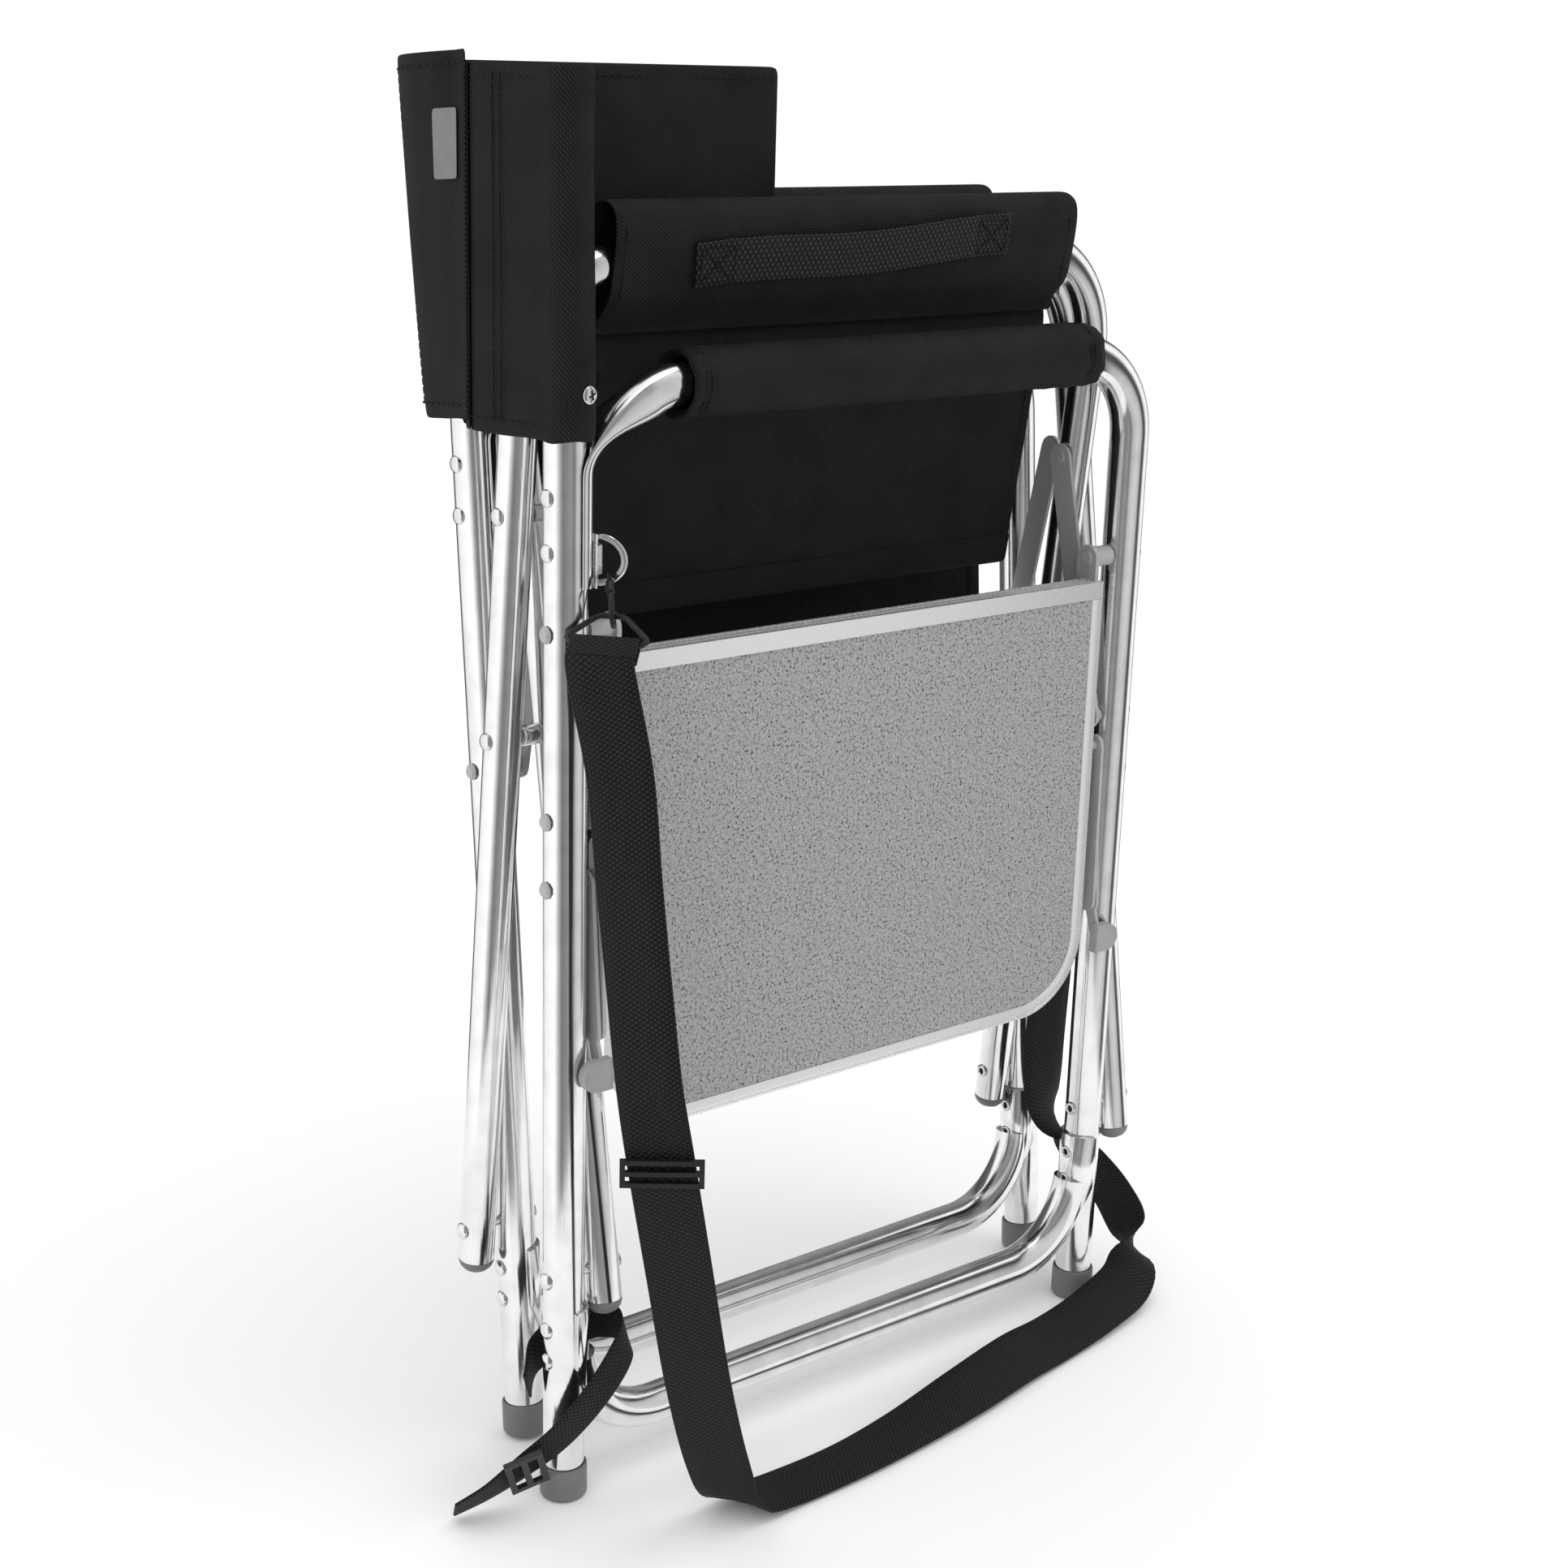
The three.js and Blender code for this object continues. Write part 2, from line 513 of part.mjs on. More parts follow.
// The far sleeve follows the far post, which leans.
add(farFrame, 'back_far_sleeve',
  backSleeve(LEG_Y, [[1, LEG_Y + 14.6], [-16, 251], [-40, 268], [-64.4, 263.4]], FAR_TILT), CLOTH);

// ---- Organiser panel under the far armrest ------------------------------------------
add(farFrame, 'organiser_panel', box(-2.4, 2.4, -176, 149, 252, ARM_Z - 21), CLOTH);

// ---- Side table ---------------------------------------------------------------------
// U-shaped edge of the table seen from the side: y across, z up, both lower corners round.
function tableOutline(half, top, bottom, corner) {
  return [[-half, top], ...arc(-half + corner, bottom + corner, corner, 180, 270, 8),
    ...arc(half - corner, bottom + corner, corner, 270, 360, 8), [half, top]];
}

function alongX(outline, x0, x1) {
  const shape = new THREE.Shape(outline.map(([y, z]) => new THREE.Vector2(y, z)));
  const geometry = new THREE.ExtrudeGeometry(shape, { depth: x1 - x0, bevelEnabled: false });
  geometry.rotateX(Math.PI / 2);
  geometry.rotateZ(Math.PI / 2);
  return geometry.translate(x0, 0, 0);
}

const table = new THREE.Group();
chair.add(table);
const RIM_W = 8.5;
const RAIL_H = 11;
const railBottom = TABLE_TOP_Z - RAIL_H;
const rimOutline = [...tableOutline(TABLE_HALF_W, railBottom - GAP, TABLE_BOTTOM_Z, TABLE_CORNER),
  ...tableOutline(TABLE_HALF_W - RIM_W, railBottom - GAP, TABLE_BOTTOM_Z + RIM_W, TABLE_CORNER - RIM_W).reverse()];
const boardOutline = tableOutline(TABLE_HALF_W - RIM_W - GAP, railBottom - GAP, TABLE_BOTTOM_Z + RIM_W + GAP,
  TABLE_CORNER - RIM_W - GAP);
add(table, 'table_board', alongX(boardOutline, TABLE_OUT_X + 1.2, TABLE_OUT_X + 8.2), LAMINATE);
const bracePinHole = (y0, y1) => solid(barY(BRACE_TABLE[0], BRACE_TABLE[1], HOLE_R, y0, y1, 12));
add(table, 'table_rim', solid(alongX(rimOutline, TABLE_OUT_X, TABLE_IN_X))
  .subtract(bracePinHole(TABLE_HALF_W - 6, TABLE_HALF_W + 4))
  .subtract(bracePinHole(-TABLE_HALF_W - 4, -TABLE_HALF_W + 6)), SATIN);

// Hinge rail: an extrusion with two grooves in its top.
function hingeRail() {
  const x0 = TABLE_OUT_X;
  const x1 = TABLE_IN_X + 2.5;
  const z0 = railBottom;
  const z1 = TABLE_TOP_Z;
  const groove = 1.6;
  const outline = [[x0, z0], [x1, z0], [x1, z1], [x1 - 2, z1], [x1 - 2, z1 - groove], [x1 - 6, z1 - groove],
    [x1 - 6, z1], [x1 - 8, z1], [x1 - 8, z1 - groove], [x1 - 11, z1 - groove], [x1 - 11, z1], [x0, z1]];
  return alongY(outline, -TABLE_HALF_W, TABLE_HALF_W);
}
add(table, 'table_hinge_rail', hingeRail(), SATIN);

// Hinge tab: plate on the rail's end, boss towards the leg and pin through it.
function hingeTab(side) {
  const inner = TABLE_HALF_W - 4.5;
  const outer = TABLE_HALF_W - 1.5;
  const [y0, y1] = side > 0 ? [inner, outer] : [-outer, -inner];
  const half = 8.4;
  const outline = [[-half, TABLE_TOP_Z + GAP], [half, TABLE_TOP_Z + GAP],
    ...arc(0, TABLE_HINGE_Z, half, 0, 180, 10)];
  const plate = solid(alongY(outline, y0, y1));
  const legFace = LEG_Y - LEG_R - 0.5;
  const boss = side > 0 ? barY(0, TABLE_HINGE_Z, 6.6, y0, legFace) : barY(0, TABLE_HINGE_Z, 6.6, -legFace, y1);
  const far = LEG_Y + legReach;
  const pin = side > 0 ? rivet(0, TABLE_HINGE_Z, y0, far, true) : rivet(0, TABLE_HINGE_Z, -far, y1, false);
  return plate.add(solid(boss)).add(pin);
}
add(table, 'table_rear_tab', hingeTab(1), GREY_BAR);
add(table, 'table_front_tab', hingeTab(-1), GREY_BAR);

// Folding braces: a leg bar with a thumb pad below its knee, and a table bar.
function legBar(side) {
  const [y0, y1] = side > 0 ? [201, 203.4] : [-203.4, -201];
  const legPivot = [0, BRACE_LEG_Z];
  const bar = solid(alongY(barOutline(legPivot, BRACE_KNEE, 7), y0, y1));
  const tail = solid(alongY(barOutline(BRACE_KNEE, [-13, 281], 4), y0, y1));
  const half = arc(0, 277, 9, -90, 90, 8).map(([y, z]) => [200.6 + y, z]);
  const pad = side > 0 ? alongX(half, -19.5, -13.5)
    : alongX(half.map(([y, z]) => [-y, z]).reverse(), -19.5, -13.5);
  const pinEnd = LEG_Y + legReach;
  const pin = side > 0 ? rivet(0, BRACE_LEG_Z, 201.5, pinEnd, true) : rivet(0, BRACE_LEG_Z, -pinEnd, -201.5, false);
  return bar.add(tail).add(solid(pad)).add(pin);
}

function tableBar(side) {
  const [y0, y1] = side > 0 ? [197.6, 200] : [-200, -197.6];
  const bar = solid(alongY(barOutline(BRACE_TABLE, [BRACE_KNEE[0], BRACE_KNEE[1] + 1.4], 7), y0, y1));
  const rimFace = TABLE_HALF_W - 4;
  const pin = side > 0 ? barY(...BRACE_TABLE, PIN_R, rimFace, y1, 12) : barY(...BRACE_TABLE, PIN_R, y0, -rimFace, 12);
  return bar.add(solid(pin));
}
add(chair, 'rear_brace_leg_bar', legBar(1), GREY_BAR);
add(chair, 'front_brace_leg_bar', legBar(-1), GREY_BAR);
add(chair, 'rear_brace_table_bar', tableBar(1), GREY_BAR);
add(chair, 'front_brace_table_bar', tableBar(-1), GREY_BAR);

// ---- Shoulder strap and its fittings ------------------------------------------------
const RING_Z = 575;
const SADDLE_FACE = LEG_Y - LEG_R - GAP - 1.6 - GAP;
const RING_Y = SADDLE_FACE - 4.4;
const STRAP_ACROSS = v(0.75, 0.66, 0).normalize();
const RING_WAY = v(-0.8, -0.6, 0).normalize();

// Plate on the armrest's saddle, with a barrel for the ring's straight bar.
function ringPlate() {
  const plate = solid(box(-7, 7, SADDLE_FACE - 1.2, SADDLE_FACE, RING_Z - 15, RING_Z + 15));
  const barrel = solid(barZ(0, RING_Y, 4, RING_Z - 8, RING_Z + 8, 16));
  return plate.add(barrel).subtract(solid(barZ(0, RING_Y, 2.6, RING_Z - 20, RING_Z + 20, 12)));
}
add(chair, 'ring_plate', ringPlate(), SATIN);

// The D-ring: a bent wire whose straight bar is butted, with a fine gap.
const RING_HALF = 13;
function dRing() {
  const axis = v(0, RING_Y, RING_Z);
  const out = (reach, up) => axis.clone().addScaledVector(RING_WAY, reach).add(v(0, 0, up));
  const points = [out(0, 0.3), out(0, RING_HALF - 2)];
  for (let i = 0; i <= 10; i += 1) {
    const t = (i * Math.PI) / 10;
    points.push(out(2 + 15 * Math.sin(t), RING_HALF * Math.cos(t)));
  }
  points.push(out(0, 2 - RING_HALF), out(0, -0.3));
  return tube(points, 2, 0, 8);
}
add(chair, 'd_ring', dRing(), STEEL);

// Flat webbing along a route; each row is a centre point and the direction of its width.
function webbing(rows, width, thick) {
  const sharp = 0.6;
  const w = width / 2;
  const t = thick / 2;
  const section = new THREE.Shape([[w, t - sharp], [w - 1, t], [-w + 1, t], [-w, t - sharp], [-w, sharp - t],
    [-w + 1, -t], [w - 1, -t], [w, sharp - t]].map(([x, y]) => new THREE.Vector2(x, y)));
  const centres = new THREE.CatmullRomCurve3(rows.map(([p]) => v(...p)));
  const widths = new THREE.CatmullRomCurve3(rows.map(([, d]) => v(...d).normalize()));
  const steps = 3 * (rows.length - 1);
  const points = [];
  const sideways = [];
  for (let i = 0; i <= steps; i += 1) {
    points.push(centres.getPoint(i / steps));
    sideways.push(widths.getPoint(i / steps).normalize());
  }
  return new THREE.ExtrudeGeometry(section, { steps, extrudePath: new Route(points, sideways), curveSegments: 1 });
}

const STRAP_W = 38;
// Snap hook and wire loop hang in a row under the ring's lower wire.
const HOOK_DOWN = v(-0.67, 0.41, -0.62).normalize();
const LOOP_DOWN = squareTo(STRAP_ACROSS, HOOK_DOWN);
const hookEye = v(0, RING_Y, RING_Z - 11.5).addScaledVector(RING_WAY, 9);
const hookCentre = hookEye.clone().addScaledVector(HOOK_DOWN, 13.7);
const loopCentre = hookCentre.clone().addScaledVector(HOOK_DOWN, 11.2).addScaledVector(LOOP_DOWN, 11.5);
const strapStart = loopCentre.clone().addScaledVector(LOOP_DOWN, 9.3);
const strapNext = strapStart.clone().addScaledVector(LOOP_DOWN, 14);
const STRAP_ROUTE = [
  [strapStart.toArray(), [0.75, 0.66, 0]],
  [strapNext.toArray(), [0.75, 0.66, 0]],
  [[-57, 220, 470], [0.78, 0.63, 0]],
  [[-70, 222, 410], [0.8, 0.6, 0]],
  [[-81, 222, 350], [0.8, 0.6, 0]],
  [[-90, 221.5, 300], [0.76, 0.65, 0]],
  [[-93, 214, 249], [0.6, 0.8, 0]],
  [[-92, 200, 180], [0.57, 0.82, 0]],
  [[-90, 184, 105], [0.6, 0.8, 0]],
  [[-87, 166, 44], [0.66, 0.75, 0]],
  [[-84, 149, 12], [0.8, 0.6, 0.04]],
  [[-81, 116, 3.4], [0.97, 0.24, 0.03]],
  [[-80, 60, 2.6], [1, 0.02, 0]],
  [[-76, 8, 4.4], [0.99, -0.12, 0.1]],
  [[-70, -48, 9], [0.93, -0.2, 0.3]],
  [[-60, -105, 11], [0.9, -0.22, 0.37]],
  [[-52, -150, 9], [0.92, -0.18, 0.32]],
  [[-45, -195, 12], [0.9, -0.2, 0.4]],
  [[-36, -236, 20], [0.72, -0.3, 0.6]],
  [[-20, -254, 40], [0.4, -0.2, 0.9]],
  [[0, -256, 62], [-0.1, 0, 1]],
  [[20, -248, 84], [-0.35, 0.2, 0.9]],
  [[30, -232, 106], [-0.4, 0.6, 0.7]],
  [[35, -215, 132], [-0.2, 0.95, 0.25]],
  [[36, -211, 165], [0, 1, 0.08]],
  [[34, -211, 220], [0, 1, 0.05]],
  [[28, -210, 300], [0, 1, 0]],
  [[21, -211, 371], [0, 1, 0]],
];
add(chair, 'shoulder_strap', webbing(STRAP_ROUTE, STRAP_W, 2), WEBBING);

// Wire loops: a closed frame of wire lying in a plane given by two directions.
function wireFrame(centre, across, down, outline, r) {
  const corner = ([a, b]) => centre.clone().addScaledVector(across, a).addScaledVector(down, b);
  return tube(outline.map(corner), r, 0, 8);
}

// Trapezoid loop that the strap's end is sewn round; its long bar is butted in the middle.
const loopOutline = [[0.3, 7], [20, 7], [22, 5], [22, 3], [9, -10], [6, -11.5], [-6, -11.5], [-9, -10], [-22, 3],
  [-22, 5], [-20, 7], [-0.3, 7]];
add(chair, 'strap_wire_loop', wireFrame(loopCentre, STRAP_ACROSS, LOOP_DOWN, loopOutline, 1.7), BLACK_WIRE);

// Snap hook: a long wire eye that holds the ring above and the wire loop below.
const hookOutline = [[0.3, 15], [4, 15], [6.4, 11], [5.8, -13], [3.6, -17.2], [0, -18.6], [-3.6, -17.2], [-5.8, -13],
  [-6.4, 11], [-4, 15], [-0.3, 15]];
const HOOK_ACROSS = v(0.7, 0.71, 0).cross(HOOK_DOWN).normalize();
add(chair, 'snap_hook', wireFrame(hookCentre, HOOK_ACROSS, HOOK_DOWN, hookOutline, 1.5), BLACK_WIRE);

// A flat frame with a middle bar, laid on the webbing.
function slider(centre, across, along, width, tall, thick, bar) {
  const outer = [[-width / 2, -tall / 2], [width / 2, -tall / 2], [width / 2, tall / 2], [-width / 2, tall / 2]];
  const slot = (b0, b1) => [[-width / 2 + bar, b0], [width / 2 - bar, b0], [width / 2 - bar, b1], [-width / 2 + bar, b1]];
  const shape = new THREE.Shape(outer.map(([x, y]) => new THREE.Vector2(x, y)));
  [slot(-tall / 2 + bar, -bar / 2), slot(bar / 2, tall / 2 - bar)]
    .forEach((h) => shape.holes.push(new THREE.Path(h.map(([x, y]) => new THREE.Vector2(x, y)))));
  const geometry = new THREE.ExtrudeGeometry(shape, { depth: thick, bevelEnabled: false });
  const normal = across.clone().cross(along).normalize();
  const basis = new THREE.Matrix4().makeBasis(across, along, normal).setPosition(...centre);
  return geometry.applyMatrix4(basis);
}
const sliderAcross = v(0.6, 0.8, 0).normalize();
const sliderAlong = squareTo(sliderAcross, v(0.03, 0.16, 0.99));
const sliderOut = sliderAcross.clone().cross(sliderAlong).normalize();
const sliderSide = sliderOut.x < 0 ? 1 : -1;
const sliderAt = v(-93, 214, 249).addScaledVector(sliderOut, sliderSide > 0 ? 2 : -5);
add(chair, 'strap_slider', slider(sliderAt, sliderAcross, sliderAlong, 47, 17, 3, 3), BLACK_WIRE);

// Loop that holds the strap's front end on the front leg.
function frontAnchor() {
  const x = LEG_R + GAP;
  const plate = box(x, x + 1.6, -LEG_Y - 9, -LEG_Y + 9, 372, 412);
  const lip = box(x, x + 12, -LEG_Y - 9, -LEG_Y + 9, 376, 378.6);
  return solid(plate).add(solid(lip)).subtract(legCut(-LEG_Y));
}
add(chair, 'front_strap_anchor', frontAnchor(), SATIN);

// ---- Tie strap round the foot of the rear post --------------------------------------
const TIE_W = 25;
const TIE_ROUTE = [
  [[6, 239, 76], [0, 0.1, 1]],
  [[18.5, 226, 86], [0.05, 0, 1]],
  [[20, 206, 94], [0.1, 0, 1]],
  [[15, 186, 99], [0, 0.1, 1]],
  [[0, 176, 100], [0, 0.2, 1]],
  [[-15, 183, 95], [0, 0.35, 0.93]],
  [[-21, 204, 76], [-0.1, 0.55, 0.83]],
  [[-17, 228, 52], [-0.2, 0.55, 0.8]],
  [[-6, 249, 32], [-0.35, 0.4, 0.85]],
  [[2, 268, 18], [-0.5, 0.35, 0.78]],
  [[6, 290, 11], [-0.62, 0.2, 0.75]],
];
add(chair, 'tie_strap', webbing(TIE_ROUTE, TIE_W, 1.6), WEBBING);

const buckleAcross = v(-0.35, 0.4, 0.85).normalize();
const buckleAlong = squareTo(buckleAcross, v(0.42, 0.75, -0.55));
const buckleOut = buckleAcross.clone().cross(buckleAlong).normalize();
const buckleAt = v(-6, 249, 32).addScaledVector(buckleOut, buckleOut.x < 0 ? 3.2 : -6.2);
add(chair, 'tie_buckle', slider(buckleAt, buckleAcross, buckleAlong, 34, 24, 3, 4), BLACK_PLASTIC);

export default chair;
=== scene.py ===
# A folded camp chair with a side table. Lengths are in millimetres from the floor point midway
# between the near frame's legs, and at() turns them into metres.
import json
import math
import bmesh
import bpy
import numpy as np
from mathutils import Matrix, Vector, noise


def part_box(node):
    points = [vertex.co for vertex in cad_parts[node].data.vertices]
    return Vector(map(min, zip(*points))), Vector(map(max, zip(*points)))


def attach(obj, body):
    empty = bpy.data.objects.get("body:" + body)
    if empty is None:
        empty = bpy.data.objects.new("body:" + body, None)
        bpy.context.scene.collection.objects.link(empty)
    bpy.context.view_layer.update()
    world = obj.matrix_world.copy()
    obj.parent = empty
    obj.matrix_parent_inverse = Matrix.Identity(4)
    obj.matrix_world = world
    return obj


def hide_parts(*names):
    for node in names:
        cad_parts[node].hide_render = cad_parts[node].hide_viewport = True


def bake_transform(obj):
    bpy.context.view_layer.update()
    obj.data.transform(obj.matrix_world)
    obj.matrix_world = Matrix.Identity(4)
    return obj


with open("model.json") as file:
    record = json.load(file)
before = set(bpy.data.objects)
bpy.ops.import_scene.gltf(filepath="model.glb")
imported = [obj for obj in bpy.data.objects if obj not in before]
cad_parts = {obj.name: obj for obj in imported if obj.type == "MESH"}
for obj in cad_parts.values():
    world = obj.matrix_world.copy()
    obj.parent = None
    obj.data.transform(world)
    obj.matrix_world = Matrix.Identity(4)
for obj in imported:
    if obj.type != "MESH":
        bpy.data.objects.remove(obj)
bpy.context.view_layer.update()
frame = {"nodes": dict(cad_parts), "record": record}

# ---- Frames ---------------------------------------------------------------------------
LEG_Y = 217  # front and rear legs, each side of the middle
TUBE_R = 12.5
FOOT_R = 14.4
PIVOT_Z = 145
CROSS_X, CROSS_Z = 53, 464  # where the two scissor tubes cross
FAR_X, FAR_Y = 84, -19  # the far frame's offset from the near one
RAIL_REACH = 270  # from the crossing up to a seat rail
ARM_Z = 668  # armrest's centre line
TILT = math.radians(5)  # lean of the far frame

RISE = CROSS_Z - PIVOT_Z
NEAR_TILT = math.atan2(CROSS_X, RISE)
FAR_TUBE_TILT = -math.atan2(FAR_X - CROSS_X, RISE)
NEAR_ARM = math.hypot(CROSS_X, RISE)
FAR_ARM = math.hypot(FAR_X - CROSS_X, RISE)
Y = Vector((0, 1, 0))

post_lo, post_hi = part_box("near_rear_post")
X0 = (post_lo.x + post_hi.x) / 2
Y0 = (post_lo.y + post_hi.y) / 2 - LEG_Y / 1000


def at(x, y, z):
    return Vector((X0 + x / 1000, Y0 + y / 1000, z / 1000))


def turned(origin, angle):
    return Matrix.Translation(origin) @ Matrix.Rotation(angle, 4, "Y")


def rail_place(foot_x, arm, tilt):
    """Centre (x, z) of the seat rail that a scissor tube carries."""
    reach = arm + RAIL_REACH
    return foot_x + reach * math.sin(tilt), PIVOT_Z + reach * math.cos(tilt)


NEAR = Matrix.Translation(at(0, 0, 0))
FAR = turned(at(FAR_X - PIVOT_Z * math.tan(TILT), FAR_Y, FOOT_R * math.sin(TILT)), TILT)
NEAR_TUBE = turned(at(0, 0, PIVOT_Z), NEAR_TILT)
FAR_TUBE = turned(at(FAR_X, 0, PIVOT_Z), FAR_TUBE_TILT)
NEAR_RAIL = rail_place(FAR_X, FAR_ARM, FAR_TUBE_TILT)
FAR_RAIL = rail_place(0, NEAR_ARM, NEAR_TILT)


def spot(m, x, y, z):
    return m @ Vector((x / 1000, y / 1000, z / 1000))


# ---- Materials ------------------------------------------------------------------------
def nodes_of(material):
    tree = material.node_tree
    return tree.nodes, tree.links, tree.nodes["Principled BSDF"]


def base_material(name, color, roughness, metallic=0.0, **sockets):
    material = bpy.data.materials.new(name)
    material.use_nodes = True
    shader = material.node_tree.nodes["Principled BSDF"]
    shader.inputs["Base Color"].default_value = (*color, 1)
    shader.inputs["Roughness"].default_value = roughness
    shader.inputs["Metallic"].default_value = metallic
    for key, value in sockets.items():
        shader.inputs[key.replace("_", " ")].default_value = value
    return material


def coords(material, kind, scale=(1, 1, 1), turn=0.0):
    nodes, links, _ = nodes_of(material)
    source = nodes.new("ShaderNodeTexCoord")
    mapping = nodes.new("ShaderNodeMapping")
    mapping.inputs["Scale"].default_value = scale
    mapping.inputs["Rotation"].default_value = (0, 0, turn)
    links.new(source.outputs[kind], mapping.inputs["Vector"])
    return mapping.outputs["Vector"]


def noise_tex(material, vector, scale, detail=3.0, rough=0.5):
    nodes, links, _ = nodes_of(material)
    tex = nodes.new("ShaderNodeTexNoise")
    tex.inputs["Scale"].default_value = scale
    tex.inputs["Detail"].default_value = detail
    tex.inputs["Roughness"].default_value = rough
    links.new(vector, tex.inputs["Vector"])
    return tex.outputs["Fac"]


WAVE_PERIOD = 0.31416  # metres from band to band at scale 1


def wave_tex(material, vector, pitch, axis="X", warp=0.0):
    nodes, links, _ = nodes_of(material)
    tex = nodes.new("ShaderNodeTexWave")
    tex.bands_direction = axis
    tex.inputs["Scale"].default_value = WAVE_PERIOD / pitch
    tex.inputs["Distortion"].default_value = warp
    tex.inputs["Detail"].default_value = 1.0
    links.new(vector, tex.inputs["Vector"])
    return tex.outputs["Fac"]


def fill_ramp(node, stops):
    elements = node.color_ramp.elements
    while len(elements) < len(stops):
        elements.new(0.5)
    for element, (place, shade) in zip(elements, stops):
        element.position = place
        element.color = (*(shade if isinstance(shade, tuple) else (shade,) * 3), 1)


def ramp(material, value, stops):
    nodes, links, _ = nodes_of(material)
    node = nodes.new("ShaderNodeValToRGB")
    fill_ramp(node, stops)
    links.new(value, node.inputs["Fac"])
    return node.outputs["Color"]


def combine(material, a, b, how="MULTIPLY"):
    nodes, links, _ = nodes_of(material)
    node = nodes.new("ShaderNodeMath")
    node.operation = how
    links.new(a, node.inputs[0])
    links.new(b, node.inputs[1])
    return node.outputs[0]


def bump(material, height, strength, distance):
    nodes, links, shader = nodes_of(material)
    node = nodes.new("ShaderNodeBump")
    node.inputs["Strength"].default_value = strength
    node.inputs["Distance"].default_value = distance
    links.new(height, node.inputs["Height"])
    previous = shader.inputs["Normal"].links
    if previous:
        links.new(previous[0].from_socket, node.inputs["Normal"])
    links.new(node.outputs["Normal"], shader.inputs["Normal"])


def wire_to(material, socket, value):
    _, links, shader = nodes_of(material)
    links.new(value, shader.inputs[socket])


def polished_tube():
    m = base_material("polished_tube", (0.86, 0.865, 0.87), 0.13, 1.0)
    streak = noise_tex(m, coords(m, "UV", (900, 6, 1)), 1.0, 4)
    wire_to(m, "Roughness", ramp(m, streak, [(0.3, 0.09), (0.7, 0.2)]))
    spots = noise_tex(m, coords(m, "Object"), 60, 3)
    wire_to(m, "Base Color", ramp(m, spots, [(0.3, (0.80, 0.805, 0.81)), (0.6, (0.9, 0.905, 0.91))]))
    bump(m, streak, 0.12, 0.0002)
    return m


def satin_metal(name, color, roughness, metallic, stretch=(30, 400, 400)):
    m = base_material(name, color, roughness, metallic)
    grain = noise_tex(m, coords(m, "Object", stretch), 1.0, 4)
    low = tuple(c * 0.86 for c in color)
    wire_to(m, "Base Color", ramp(m, grain, [(0.25, low), (0.75, color)]))
    wire_to(m, "Roughness", ramp(m, grain, [(0.3, roughness * 0.8), (0.7, roughness * 1.25)]))
    bump(m, grain, 0.06, 0.0001)
    return m


def moulded(name, color, roughness):
    m = base_material(name, color, roughness)
    grain = noise_tex(m, coords(m, "Object"), 900, 2)
    cloud = noise_tex(m, coords(m, "Object"), 40, 3)
    low = tuple(c * 0.84 for c in color)
    wire_to(m, "Base Color", ramp(m, cloud, [(0.3, low), (0.7, color)]))
    wire_to(m, "Roughness", ramp(m, grain, [(0.3, roughness * 0.85), (0.7, roughness * 1.15)]))
    bump(m, grain, 0.25, 0.0002)
    return m


def laminate():
    m = base_material("laminate", (0.4, 0.4, 0.4), 0.5)
    place = coords(m, "Object")
    fine = noise_tex(m, place, 980, 2, 0.6)
    coarse = noise_tex(m, place, 560, 2, 0.5)
    specks = combine(m, fine, coarse, "ADD")
    half = m.node_tree.nodes.new("ShaderNodeMath")
    half.operation = "MULTIPLY"
    half.inputs[1].default_value = 0.5
    m.node_tree.links.new(specks, half.inputs[0])
    wire_to(m, "Base Color", ramp(m, half.outputs[0],
            [(0.39, 0.02), (0.43, 0.20), (0.47, 0.30), (0.56, 0.33), (0.62, 0.42)]))
    bump(m, fine, 0.08, 0.0002)
    return m


def twill(shade=0.0075):
    m = base_material("black_cloth", (shade, shade, shade), 0.7, Specular_IOR_Level=0.22)
    diagonal = wave_tex(m, coords(m, "UV", (1, 1, 1), math.radians(52)), 0.0017, "X", 0.5)
    weft = wave_tex(m, coords(m, "UV"), 0.0009, "Y", 0.4)
    weave = combine(m, diagonal, weft)
    cloud = noise_tex(m, coords(m, "UV"), 26, 4)
    mix = combine(m, weave, cloud)
    wire_to(m, "Base Color", ramp(m, mix, [(0.0, shade * 0.4), (0.12, shade * 1.2), (0.4, shade * 4.2)]))
    bump(m, weave, 0.8, 0.0005)
    bump(m, cloud, 0.25, 0.0012)
    return m


def webbing(name="webbing", shade=0.008, pitch=0.0024):
    m = base_material(name, (shade, shade, shade), 0.62, Specular_IOR_Level=0.3)
    # Two slanted waves leave staggered picks, the way webbing is woven.
    slant = math.radians(33)
    rising = wave_tex(m, coords(m, "UV", (1, 1, 1), slant), pitch, "Y", 0.3)
    falling = wave_tex(m, coords(m, "UV", (1, 1, 1), -slant), pitch, "Y", 0.3)
    weave = combine(m, rising, falling)
    wire_to(m, "Base Color", ramp(m, weave, [(0.0, shade * 0.3), (0.35, shade * 1.1), (0.9, shade * 3.6)]))
    bump(m, weave, 0.9, 0.0007)
    return m


